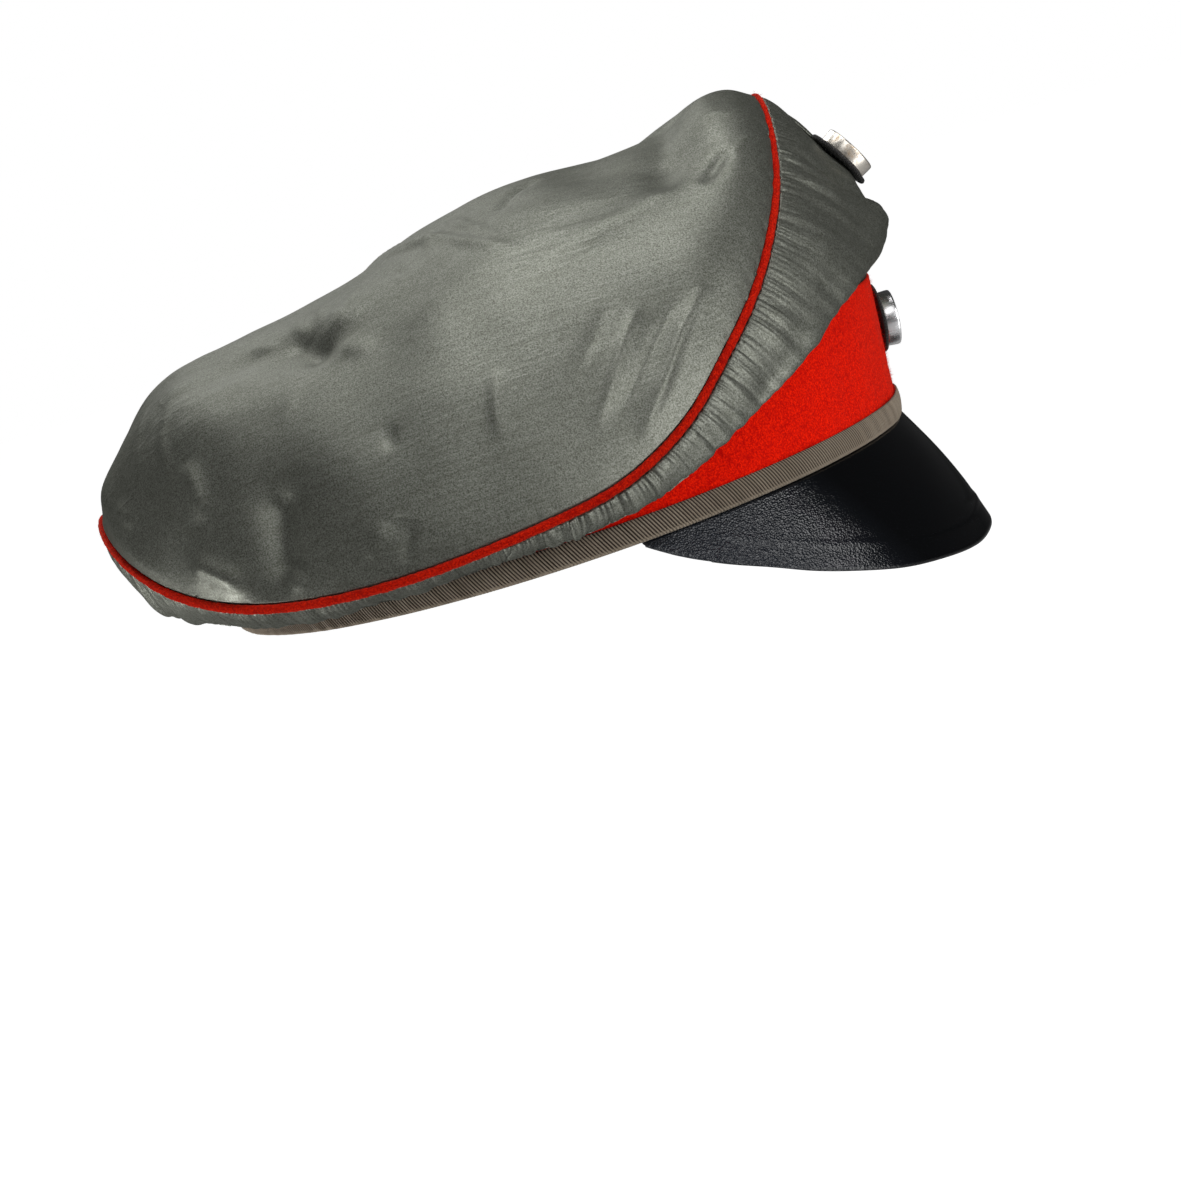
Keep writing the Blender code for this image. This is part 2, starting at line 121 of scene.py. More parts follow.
# Soft folds and dents in the crown's top, each along a line in plan: its places (x, y, x, y and so
# on), the width over which it fades, and how far it stands up (or goes in, below 0).
TOP_FOLDS = (
    ((0, -64, -50, -49), 8, -2.6),  # behind the front hump
    ((2, -77, -38, -69), 9, 1.2),
    ((-41, -72, -50, -61), 3.2, -1.7),  # the short dent by the piping
    ((-44, -66, -54, -39, -62, -8), 6, 1.3),  # the long soft edge below it
    ((-29, -87, -37, -79, -43, -72), 1.4, 0.6),
    ((-35, -84, -47, -75), 1.3, 0.55),
    ((-27, -86, -26, -72), 1.6, 0.5),
    ((-74, -51, -82, -40, -88, -32, -95, -20), 3.2, 2.1),  # two long creases
    ((-77, -32, -84, -24, -90, -17, -95, -9), 2.3, 1.6),  # that come up from the piping
    ((-76, -43, -83, -33, -90, -23, -94, -16), 2.4, -1.2),
    ((-76, -24, -84, -15, -91, -6), 2.2, -0.8),
    ((-83, -16, -88, -12), 1.2, 0.5),
    ((-86, -15, -90, -8), 1.0, 0.30),
    ((-83, 10, -89, 13, -94, 15), 2.2, 0.9),
    ((-47, 55, -37, 59), 7.5, -3.6),  # the pit, with small pulls beside it
    ((-40, 68, -30, 74), 13, -2.4),
    ((-44, 45, -30, 47), 5, 1.1),
    ((-40, 44, -24, 38), 1.6, 0.8),
    ((-36, 52, -16, 50), 1.5, 0.8),
    ((-32, 57, -12, 61), 1.5, 0.7),
    ((-44, 44, -34, 33), 1.6, 0.6),
    ((-56, 62, -66, 70), 3.4, 0.35),
    ((-50, 49, -60, 40), 5, 0.9),
    ((-36, 56, -24, 60), 2.5, 0.6),
    ((-30, 66, -20, 74), 2.5, 0.6),
    ((-80, 77, -86, 80), 9, -4.4),  # the hollow at the back, and the bumps round it
    ((-72, 101, -78, 95), 5.5, 3.0),
    ((-88, 79, -89, 78), 4.5, 1.6),
    ((-56, 98, -69, 97), 4.5, 1.7),
    ((-35, 122, -47, 118), 3.5, 1.3),
    ((-82, 41, -86, 44), 2.2, -0.7),
    ((-66, 114, -50, 120, -28, 125, 0, 126.5), 7, 1.8),  # the silk bulges over the piping
    ((-20, 96, -44, 104, -62, 103), 2.2, 0.8),
    ((-14, 108, -40, 113), 2.0, 0.7),
    ((-97, 43, -98, 46, -99, 49), 1.8, -0.7),
    ((-95, 50, -96, 58), 4.0, 0.9),
    ((-40, 20, -62, 34), 12, -0.9),
    ((-10, 88, -40, 84), 9, -1.3),
    ((-6, 30, -22, 15, -42, 5, -57, -7), 2.4, 1.5),  # crossing creases on the far ridge
    ((-46, 13, -24, 16, -8, 29), 1.8, 1.2),
    ((-48, -3, -30, 4, -13, 9), 1.8, 1.1),
    ((-40, 22, -18, 35), 1.8, -1.1),
    ((-31, -5, -22, -12, -13, -20), 2.2, -1.7),
    ((-28, -9, -19, -16), 1.8, 0.9),
)
FAR_SIDE_SHIFT = 9.0  # the same folds on the wearer's left lie this much further back
# The same on the side wall: the angle, the share of the way from fold to piping, how far each
# fades (in degrees, and as a share), and how far it stands out.
WALL_FOLDS = (
    (0, 0.275, 12, 0.085, -2.6),  # the dent under the upper cockade
    (0, 0.88, 14, 0.16, 1.0),
    (0, -0.85, 12, 0.30, 1.2),
    (-17, 0.42, 5, 0.20, -0.8),
    (-29, 0.55, 6, 0.15, 0.9),
    (-43, 0.62, 5, 0.20, 0.8),
    (-47, 0.30, 4, 0.15, -0.8),
    (19, 0.45, 5, 0.20, -0.9),
    (33, 0.58, 6, 0.15, 0.9),
    (51, 0.50, 5, 0.20, 0.8),
)
# Gathers along the piping: the spacing, the depth, and the distance over which they fade.
WALL_GATHERS = ((1.65, 0.40, 8.0), (3.4, 0.34, 11.0), (8.0, 0.40, 15.0))
TOP_GATHERS = ((1.9, 0.07, 1.6), (6.5, 0.22, 5.5))


def smooth_curve(keys, flat_ends=True):
    """A smooth function through (place, value) keys."""
    places, values = array(keys, float).T
    slopes = np.gradient(values, places)
    if flat_ends:
        slopes[[0, -1]] = 0.0

    def value_at(place):
        place = clip(place, places[0], places[-1])
        left = clip(np.searchsorted(places, place, side="right") - 1, 0, len(places) - 2)
        width = places[left + 1] - places[left]
        s = (place - places[left]) / width
        start = (1 + 2 * s) * (1 - s) ** 2 * values[left] + s * (1 - s) ** 2 * width * slopes[left]
        end = s * s * (3 - 2 * s) * values[left + 1] + s * s * (s - 1) * width * slopes[left + 1]
        return start + end

    return value_at


piping_height = smooth_curve(PIPING_HEIGHT_KEYS)
fold_height = smooth_curve(FOLD_HEIGHT_KEYS)
fold_rise = smooth_curve(FOLD_RISE_KEYS)
ridge_height = smooth_curve(RIDGE_KEYS, flat_ends=False)
visor_drop = smooth_curve(VISOR_DROP_KEYS)


def from_front(angle):
    return np.abs((angle + 180) % 360 - 180)


def round_angles(count):
    return arange(count) * 360 / count


def signed_power(value, power):
    return np.sign(value) * np.abs(value) ** power


def unit(vectors):
    return vectors / maximum(np.linalg.norm(vectors, axis=-1, keepdims=True), 1e-12)


def norm(vectors):
    return np.linalg.norm(vectors, axis=-1)


def dot(a, b):
    return (a * b).sum(axis=-1, keepdims=True)


def bell(x, power=2):
    """1 at 0, fading on both sides."""
    return np.exp(-np.abs(x) ** power)


def points(x, y, z):
    return stack(np.broadcast_arrays(x, y, z), axis=-1).astype(float)


def band_points(angle, inset, height, lean=True):
    """Points on the band's outline, moved in by inset."""
    t = radians(angle)
    out = -np.asarray(inset, float)
    if lean:
        out = out + BAND_LEAN * np.asarray(height) / BAND_TOP * (1 + cos(t)) / 2
    x = (BAND_HALF_WIDTH + out) * sin(t) * (1 - BAND_EGG * cos(t))
    y = -(BAND_HALF_LENGTH + out) * cos(t)
    return points(x, y, height)


def band_out(angle):
    """The level way out of the cap at each angle."""
    return unit(band_points(angle, 0, 0) * (1, 1, 0))


def oval_points(angle, front, back, half_width, roundness, height):
    t = radians(angle)
    x = half_width * signed_power(sin(t), 2 / roundness)
    y = (front + back) / 2 - (back - front) / 2 * signed_power(cos(t), 2 / roundness)
    return points(x, y, height)


def piping_points(angle):
    height = piping_height(from_front(angle))
    return oval_points(
        angle, PIPING_FRONT, PIPING_BACK, PIPING_HALF_WIDTH, PIPING_ROUNDNESS, height)


def piping_way(angle, step):
    return unit(piping_points(angle + step) - piping_points(angle - step))


def fold_points(angle):
    height = fold_height(from_front(angle))
    roundness = np.where(cos(radians(angle)) > 0, NOSE_ROUNDNESS, FOLD_ROUNDNESS)
    return oval_points(angle, FOLD_FRONT, FOLD_BACK, FOLD_HALF_WIDTH, roundness, height)


def outward(points_of, angle):
    along = points_of(angle + 1) - points_of(angle - 1)
    return unit(points(along[..., 1], -along[..., 0], 0 * angle))


def bezier(a, b, c, d, s):
    """Points at the shares s along one cubic curve for each row of a, b, c and d."""
    a, b, c, d = (point[:, None, :] for point in (a, b, c, d))
    s = np.asarray(s)[None, :, None]
    return (1 - s) ** 3 * a + 3 * s * (1 - s) ** 2 * b + 3 * s * s * (1 - s) * c + s ** 3 * d


def top_height(x, y):
    """The crown's top over a place in plan: a saddle between the ridge and the piped edge."""
    along = clip((PIPING_MIDDLE - y) / PIPING_HALF_LENGTH, -1, 1)
    t = np.arccos(signed_power(along, PIPING_ROUNDNESS / 2))
    half_width = PIPING_HALF_WIDTH * sin(t) ** (2 / PIPING_ROUNDNESS)
    across = clip(np.abs(x) / maximum(half_width, 1e-9), 0, 1)
    edge = piping_height(np.degrees(t))
    return edge + (ridge_height(y) - edge) * (1 - across ** 2.2) ** 0.65


def on_top(x, y, below=0):
    return points(x, y, top_height(x, y) - below)


# ---- folds, gathers and noise

def ripples(x, y, length, seed):
    """Smooth noise of one size, about -1 to 1: plane waves, seeded."""
    waves = 28
    rng = np.random.default_rng(seed)
    total = zeros(np.broadcast(x, y).shape)
    for _ in range(waves):
        turn, phase = rng.uniform(0, 2 * pi, 2)
        number = 2 * pi / (length * rng.uniform(0.7, 1.6))
        total += sin(number * (x * cos(turn) + y * sin(turn)) + phase)
    return total / sqrt(waves / 2)


def ring_noise(place, around, length, seed):
    """The same along a closed line: it meets itself after around."""
    waves = 10
    rng = np.random.default_rng(seed)
    total = zeros(np.shape(place))
    for _ in range(waves):
        count = max(1, round(around / (length * rng.uniform(0.7, 1.6))))
        total += sin(2 * pi * count * place / around + rng.uniform(0, 2 * pi))
    return total / sqrt(waves / 2)


def gathers(place, away, around, sizes, seed):
    """Cloth drawn up by stitches: rounded ridges and sharp valleys, which fade."""
    height = zeros(np.shape(away))
    for i, (spacing, depth, fade) in enumerate(sizes):
        slant = 0.08 * ring_noise(place, around, 70, seed + 10 * i) * away
        line = place + slant
        turns = round(around / spacing) * line / around
        turns = turns + 0.28 * ring_noise(line, around, 6 * spacing, seed + 10 * i + 1)
        uneven = ring_noise(line, around, 3 * spacing, seed + 10 * i + 2)
        strength = clip(0.85 + 0.4 * uneven, 0.35, 1.6)
        uneven = ring_noise(line, around, 2 * spacing, seed + 10 * i + 3)
        reach = fade * clip(1 + 0.45 * uneven, 0.35, 2)
        ridge = np.abs(sin(pi * turns)) ** 0.8 - 0.7
        teeth = 1 + 0.5 * (i == 0) * bell(away / 1.6)
        height += depth * strength * ridge * teeth * bell(away / reach, 1.6)
    return height


def grid_normals(grid):
    return unit(np.cross(np.gradient(grid, axis=0), np.gradient(grid, axis=1)))


def near_line(grid, line, width):
    """1 on a line through places in space, fading beside it and, if it is long, to its ends."""
    line = array(line)
    runs = np.diff(line, axis=0)
    lengths = norm(runs)
    total, gone = lengths.sum(), 0.0
    nearest = np.full(grid.shape[:2], np.inf)
    where = zeros(grid.shape[:2])
    for start, run, length in zip(line, runs, lengths):
        share = clip((grid - start) @ run / length ** 2, 0, 1)
        apart = ((grid - start - share[..., None] * run) ** 2).sum(axis=-1)
        closer = apart < nearest
        nearest = np.where(closer, apart, nearest)
        where = np.where(closer, (gone + share * length) / total, where)
        gone += length
    taper = clip(total / width - 2, 0, 1)
    ends = clip(4.5 * where * (1 - where), 0, 1)
    return (1 - taper + taper * ends) / (1 + nearest / width ** 2) ** 2


# ---- meshes

def new_object(name, data):
    obj = bpy.data.objects.new(name, data)
    bpy.context.scene.collection.objects.link(obj)
    return obj


def build_mesh(name, vertices, faces, uv=None):
    """An object from vertices in millimetres. A uv has one pair for each vertex."""
    mesh = bpy.data.meshes.new(name)
    mesh.from_pydata((np.asarray(vertices) * MM).tolist(), [], np.asarray(faces).tolist())
    mesh.shade_smooth()
    if uv is not None:
        corners = np.empty(len(mesh.loops), np.int32)
        mesh.loops.foreach_get("vertex_index", corners)
        layer = mesh.uv_layers.new(name="cloth")
        layer.data.foreach_set("uv", uv.reshape(-1, 2).astype(np.float32)[corners].ravel())
    return new_object(name, mesh)


def grid_faces(rows, columns, closed_rows=False, closed_columns=False):
    i = arange(rows if closed_rows else rows - 1)[:, None]
    j = arange(columns if closed_columns else columns - 1)[None, :]
    after, up = (i + 1) % rows, (j + 1) % columns
    here, there = i * columns, after * columns
    return stack([here + j, there + j, there + up, here + up], -1).reshape(-1, 4)


def grid_object(name, grid, closed_rows=False, closed_columns=False, uv=None):
    faces = grid_faces(*grid.shape[:2], closed_rows, closed_columns)
    return build_mesh(name, grid.reshape(-1, 3), faces, uv)


def thicken(obj, thickness):
    """Gives a sheet its thickness, inwards from the face that shows."""
    modifier = obj.modifiers.new("thickness", "SOLIDIFY")
    modifier.thickness = thickness * MM
    modifier.offset = -1
    modifier.use_rim = True
    return obj


def dress(obj, material, slot, *nodes):
    """Gives a piece its material, hangs it on the root, and hides the CAD nodes that it stands in
    for.
    """
    obj.data.materials.clear()
    obj.data.materials.append(material)
    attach(obj, "root")
    if nodes:
        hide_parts(*nodes)


# ---- materials

class Look:
    """A Principled material, with short ways to make the nodes that feed it."""

    def __init__(self, name, **fixed):
        self.material = bpy.data.materials.new(name)
        self.material.use_nodes = True
        self.tree = self.material.node_tree
        self.shader = self.tree.nodes["Principled BSDF"]
        self.fill(self.shader, **fixed)

    def node(self, kind, **settings):
        made = self.tree.nodes.new("ShaderNode" + kind)
        for name, value in settings.items():
            setattr(made, name, value)
        return made

    def feed(self, socket, source):
        """Links a socket to a source, or sets it to a plain value."""
        if isinstance(source, bpy.types.NodeSocket):
            self.tree.links.new(source, socket)
        else:
            socket.default_value = source

    def fill(self, node, **sources):
        """Feeds a node's sockets by their names, with _ for each space."""
        for name, source in sources.items():
            self.feed(node.inputs[name.replace("_", " ")], source)
        return node

    def place(self, stretch=(1, 1, 1), uv=False):
        """Coordinates in metres, on the object or along the cloth, stretched."""
        if uv:
            source = self.node("UVMap", uv_map="cloth").outputs["UV"]
        else:
            source = self.node("TexCoord").outputs["Object"]
        return self.fill(self.node("Mapping"), Vector=source, Scale=stretch).outputs["Vector"]

    def noise(self, scale, detail=2.0, roughness=0.5, distortion=0.0, stretch=(1, 1, 1)):
        made = self.fill(self.node("TexNoise"), Vector=self.place(stretch), Scale=scale,
                         Detail=detail, Roughness=roughness, Distortion=distortion)
        return made.outputs["Fac"]

    def cells(self, scale, stretch=(1, 1, 1)):
        made = self.fill(self.node("TexVoronoi"), Vector=self.place(stretch), Scale=scale)
        return made.outputs["Distance"]

    def split(self, place):
        return self.fill(self.node("SeparateXYZ"), Vector=place).outputs

    def ranged(self, source, low, high, to_low=0.0, to_high=1.0):
        made = self.fill(self.node("MapRange"), Value=source, From_Min=low, From_Max=high,
                         To_Min=to_low, To_Max=to_high)
        return made.outputs["Result"]

    def maths(self, operation, a, b=0.0):
        made = self.node("Math", operation=operation)
        self.feed(made.inputs[0], a)
        self.feed(made.inputs[1], b)
        return made.outputs[0]

    def mixed(self, factor, a, b):
        """One colour or the other, by factor."""
        made = self.node("Mix", data_type="RGBA")
        self.feed(made.inputs["Factor"], factor)
        for socket, value in ((made.inputs[6], a), (made.inputs[7], b)):
            self.feed(socket, value if isinstance(value, bpy.types.NodeSocket) else (*value, 1))
        return made.outputs[2]

    def colour(self, source):
        self.fill(self.shader, Base_Color=source)

    def roughness(self, source):
        self.fill(self.shader, Roughness=source)

    def bump(self, height, distance, below=None):
        """Raises the surface by height times distance, in millimetres, over the bump below."""
        made = self.fill(self.node("Bump"), Distance=distance * MM, Strength=1.0, Height=height)
        if below is not None:
            self.fill(made, Normal=below)
        self.fill(self.shader, Normal=made.outputs["Normal"])
        return made.outputs["Normal"]


def silk_look():
    """Grey-green taffeta: fine ribs that run from front to back, and a soft sheen."""
    look = Look("silk", Metallic=0.75, Specular_Tint=(0.3, 0.3, 0.3, 1))
    threads = look.noise(2600, detail=3, roughness=0.6, stretch=(1, 0.16, 1))
    slubs = look.noise(700, stretch=(1, 0.05, 1))
    cloud = look.noise(24, detail=3)
    weave = look.ranged(threads, 0.3, 0.7)
    dyed = look.mixed(look.ranged(cloud, 0.3, 0.7), (0.120, 0.124, 0.103), (0.150, 0.155, 0.132))
    specks = look.ranged(look.noise(2300, roughness=0.7), 0.35, 0.62)
    dark = look.mixed(weave, (0.052, 0.054, 0.038), dyed)
    dyed = look.mixed(specks, (0.074, 0.077, 0.061), (0.196, 0.202, 0.177))
    look.colour(look.mixed(look.ranged(slubs, 0.25, 0.55, 0.60, 1.0), dark, dyed))
    look.roughness(look.ranged(cloud, 0.3, 0.7, 0.44, 0.53))
    where = look.ranged(look.noise(16), 0.52, 0.66)
    creases = look.noise(130, distortion=0.2, stretch=(1, 0.40, 1))
    creases = look.maths("ABSOLUTE", look.maths("SUBTRACT", creases, 0.5))
    creases = look.maths("MULTIPLY", look.ranged(creases, 0.0, 0.09, 1.0, 0.0), where)
    below = look.bump(creases, 0.09)
    below = look.bump(slubs, 0.10, below)
    look.bump(threads, 0.07, below)
    return look.material


def wool_look(name, bright, deep, nap=1.0):
    """Milled wool: matt and mottled, with a short nap."""
    look = Look(name, Sheen_Weight=0.12, Sheen_Roughness=0.5, Sheen_Tint=(1.0, 0.30, 0.18, 1),
                Specular_IOR_Level=0.03, Roughness=0.95)
    fine = look.noise(1900, detail=3, roughness=0.65)
    tufts = look.noise(620, distortion=0.6)
    cloud = look.noise(45)
    mottled = look.mixed(look.ranged(fine, 0.40, 0.66), deep, bright)
    both = look.maths("ADD", look.maths("MULTIPLY", tufts, 0.7), look.maths("MULTIPLY", cloud, 0.3))
    deepest = [channel * 0.9 for channel in deep]
    look.colour(look.mixed(look.ranged(both, 0.30, 0.46), deepest, mottled))
    below = look.bump(tufts, 0.22 * nap)
    look.bump(fine, 0.30 * nap, below)
    return look.material


def grosgrain_look():
    """Ribbed ribbon: the mesh has its ribs, and this paints shade into the gaps between them."""
    look = Look("grosgrain", Roughness=0.82, Specular_IOR_Level=0.25, Sheen_Weight=0.1)
    cloth = look.split(look.place(uv=True))
    turn = look.maths("MULTIPLY", cloth["X"], 2 * pi)
    # Painted shade: 1 on each rib's crest and 0 in the gap between ribs, but never 0 on the plain
    # lower edge.
    crest_vs_painted_gap_shade = look.ranged(look.maths("COSINE", turn), -0.75, 0.55)
    crest_vs_painted_gap_shade = look.maths("MAXIMUM", crest_vs_painted_gap_shade, look.ranged(cloth["Y"], 0.14, 0.08))
    thread = look.noise(2400)
    worn = look.noise(60, detail=3)
    top = look.mixed(look.ranged(worn, 0.35, 0.65), (0.18, 0.148, 0.110), (0.26, 0.220, 0.168))
    top = look.mixed(look.ranged(thread, 0.3, 0.7), (0.19, 0.15, 0.11), top)
    # The near-black colour is painted shade in the gaps; the crests keep the ribbon's own colour.
    look.colour(look.mixed(crest_vs_painted_gap_shade, (0.020, 0.013, 0.008), top))
    look.bump(thread, 0.06)
    return look.material


def visor_look():
    """Black lacquered leather, smooth in front, with its grain showing at the sides, which are also
    coloured a lighter, bluer black as a painted sheen.
    """
    look = Look("visor_leather", Specular_IOR_Level=0.50)
    place = look.split(look.place())
    back = look.maths("SUBTRACT", place["Y"], look.maths("MULTIPLY", place["Z"], 0.6))
    side = look.ranged(back, -0.069, -0.030)
    patch = look.noise(55)
    side = look.maths("MULTIPLY", side, look.ranged(patch, 0.3, 0.55, 0.65, 1.0))
    grain = look.cells(1500, (1, 1, 1.3))
    pores = look.noise(1100, detail=3, roughness=0.6)
    # Painted sheen: the grained sides get a lighter, bluer black than the front.
    look.colour(look.mixed(side, (0.0010, 0.0012, 0.0016), (0.009, 0.0115, 0.017)))
    look.roughness(look.ranged(side, 0, 1, 0.13, 0.29))
    height = look.maths("ADD", grain, pores)
    height = look.maths("MULTIPLY", height, look.ranged(side, 0, 1, 0.06, 1.0))
    creases = look.noise(260, detail=3, distortion=0.8, stretch=(1, 0.35, 1))
    below = look.bump(look.maths("MULTIPLY", creases, side), 0.35)
    look.bump(height, 0.34, below)
    return look.material


def leather_look(name, light, dark, roughness):
    look = Look(name, Specular_IOR_Level=0.4)
    cells = look.cells(900)
    worn = look.noise(40, detail=4)
    look.colour(look.mixed(look.ranged(worn, 0.3, 0.7), dark, light))
    look.roughness(look.ranged(worn, 0.3, 0.7, roughness + 0.08, roughness - 0.08))
    look.bump(cells, 0.08)
    return look.material


def cotton_look(name, light, dark, scale=1300):
    look = Look(name, Roughness=0.85, Specular_IOR_Level=0.2, Sheen_Weight=0.08)
    warp = look.noise(scale, stretch=(1, 1, 0.15))
    weft = look.noise(scale, stretch=(0.15, 0.15, 1))
    weave = look.maths("MAXIMUM", warp, weft)
    stain = look.noise(22, detail=4)
    aged = look.mixed(look.ranged(stain, 0.35, 0.7), light, dark)
    gaps = [channel * 0.75 for channel in dark]
    look.colour(look.mixed(look.ranged(weave, 0.45, 0.75), gaps, aged))
    look.bump(weave, 0.10)
    return look.material


def metal_look(name, clean, tarnish, amount, roughness):
    """Silver plate, tarnished in patches."""
    look = Look(name, Metallic=1.0)
    patch = look.noise(240, detail=5, roughness=0.65)
    scratch = look.noise(2400, stretch=(1, 1, 0.08))
    worn = look.ranged(patch, 0.62 - amount, 0.72 - amount * 0.5)
    look.colour(look.mixed(worn, clean, tarnish))
    look.roughness(look.ranged(worn, 0, 1, roughness, roughness + 0.22))
    look.bump(scratch, 0.010)
    return look.material


def ribbed_wool_look(name, light, dark):
    """Cord-like black wool of the cockades' discs."""
    look = Look(name, Roughness=0.95, Specular_IOR_Level=0.15, Sheen_Weight=0.15)
    fuzz = look.noise(2300, detail=3, roughness=0.7)
    look.colour(look.mixed(look.ranged(fuzz, 0.35, 0.7), dark, light))
    look.bump(fuzz, 0.18)
    return look.material


# ---- the crown

ROUND = linspace(0, 360, 1441)  # every quarter of a degree, with 360 as well as 0
ROUND_PIPING = piping_points(ROUND)
STEPS = norm(np.diff(ROUND_PIPING, axis=0))
PIPING_RUN = concatenate([[0], np.cumsum(STEPS)])  # millimetres along the piping
PIPING_LENGTH = PIPING_RUN[-1]


def run_at(angle):
    """How far along the piping an angle is."""
    return interp(np.asarray(angle) % 360, ROUND, PIPING_RUN)


def angle_at(run):
    return interp(run, PIPING_RUN, ROUND)


def nearest_on_piping(grid):
    """For each point, how far along the piping the nearest place on it is, and how far away."""
    cord, runs = ROUND_PIPING[:-1:2], PIPING_RUN[:-1:2]
    flat = grid.reshape(-1, 3)
    run, away = np.empty(len(flat)), np.empty(len(flat))
    block = 4096  # points at a time
    for first in range(0, len(flat), block):
        part = flat[first:first + block]
        apart = (part ** 2).sum(1)[:, None] - 2 * part @ cord.T + (cord ** 2).sum(1)[None]
        near = apart.argmin(axis=1)
        before, after = (near - 1) % len(cord), (near + 1) % len(cord)
        step = cord[after] - cord[before]
        share = ((part - cord[near]) * step).sum(1) / (step ** 2).sum(1)
        gap = (runs[after] - runs[before]) % PIPING_LENGTH
        run[first:first + block] = (runs[near] + share * gap) % PIPING_LENGTH
        away[first:first + block] = sqrt(maximum(apart[arange(len(part)), near], 0))
    return run.reshape(grid.shape[:2]), away.reshape(grid.shape[:2])


def piping_frame(angle, beside):
    """The cord's centre, the way from it to beside, and the way round it into the cap."""
    centre = piping_points(angle)
    seam = piping_way(angle, 0.5)
    out = unit((beside - centre) - seam * dot(beside - centre, seam))
    inside = array((0.0, 15.0, 40.0)) - centre
    inside = inside - seam * dot(inside, seam)
    inside = unit(inside - out * dot(inside, out))
    return centre, out, inside


def tucked(angle, edge, seed):
    """Rows of points that take the silk's edge round the cord and under it."""
    centre, out, inside = piping_frame(angle, edge)
    start = norm(edge - centre)[..., None]
    uneven = ring_noise(run_at(angle), PIPING_LENGTH, 2.2, seed)[:, None]
    close = PIPING_RADIUS + 0.12 + 0.10 * uneven
    rows = []
    for turn, share in ((7, 0.70), (20, 0.97), (60, 1.0), (100, 1.0)):
        far = start + (close - start) * share
        rows.append(centre + far * (cos(radians(turn)) * out + sin(radians(turn)) * inside))
    return rows


def top_share(angle):
    """How far out the top reaches at an angle before it is PIPING_CLEARANCE from the cord."""
    middle = array((0, PIPING_MIDDLE))
    short = np.geomspace(1e-5, 0.2, 260)
    shares = []
    for edge in piping_points(angle):
        plan = middle + (edge[:2] - middle) * (1 - short[:, None])
        place = on_top(plan[:, 0], plan[:, 1])
        shares.append(1 - interp(PIPING_CLEARANCE, norm(place - edge), short))
    return array(shares)


SHARES = top_share(ROUND)


def top_places(cells):
    """A square grid laid over the crown's oval top: its angles and its points."""
    side = linspace(-1, 1, cells + 1)
    u, v = np.meshgrid(side, side, indexing="ij")
    across, back = u * sqrt(1 - v * v / 2), v * sqrt(1 - u * u / 2)
    out = np.hypot(across, back)
    safe = maximum(out, 1e-9)
    angle = np.degrees(np.arctan2(across, -back)) % 360
    reach = sin(pi / 2 * minimum(out, 1)) * interp(angle, ROUND, SHARES)
    x = reach * PIPING_HALF_WIDTH * signed_power(across / safe, 2 / PIPING_ROUNDNESS)
    y = PIPING_MIDDLE + reach * PIPING_HALF_LENGTH * signed_power(back / safe, 2 / PIPING_ROUNDNESS)
    return angle, on_top(x, y)


def top_fold_heights(grid):
    """The folds of the side that is seen, and softer ones on the far side."""
    height = zeros(grid.shape[:2])
    for far in (False, True):
        for places, width, rise in TOP_FOLDS:
            x, y = array(places, float).reshape(-1, 2).T
            if far:
                x, y, rise = -x * 0.96, y * 0.93 + FAR_SIDE_SHIFT, rise * 0.65
            height += rise * near_line(grid, on_top(x, y), width)
    return height


def border(cells):
    """The grid's outer points in order, anticlockwise from above."""
    low, high = arange(cells), arange(cells, 0, -1)
    zero, full = zeros(cells, int), np.full(cells, cells)
    i = concatenate([low, full, high, zero])
    j = concatenate([zero, low, full, high])
    return i, j


def make_top(silk):
    cells = TOP_CELLS
    angle, grid = top_places(cells)
    away = norm(grid - piping_points(angle))
    x, y = grid[..., 0], grid[..., 1]
    free = 1 - bell(away / 14)
    height = top_fold_heights(grid) * (1 - bell(away / 4))
    height += free * (0.30 * ripples(x, y, 38, 3) + 0.10 * ripples(x, y * 0.6, 13, 4))
    front = bell(from_front(angle) / 42, 4)
    height += gathers(run_at(angle), away, PIPING_LENGTH, TOP_GATHERS, 60) * (0.6 + 1.6 * front)
    grid = grid + grid_normals(grid) * height[..., None]

    i, j = border(cells)
    edge, edge_angle = grid[i, j], angle[i, j]
    rings = tucked(edge_angle, edge, 70)
    count = len(i)
    vertices = concatenate([grid.reshape(-1, 3), *rings])
    first = (cells + 1) ** 2
    loops = [i * (cells + 1) + j]
    loops += [first + k * count + arange(count) for k in range(len(rings))]
    faces = [grid_faces(cells + 1, cells + 1)]
    for inner, outer in zip(loops, loops[1:]):
        faces.append(stack([inner, outer, np.roll(outer, -1), np.roll(inner, -1)], -1))
    top = build_mesh("silk_crown_top", vertices, concatenate(faces))
    dress(thicken(top, SILK_THICKNESS), silk, "silk", "crown_top")


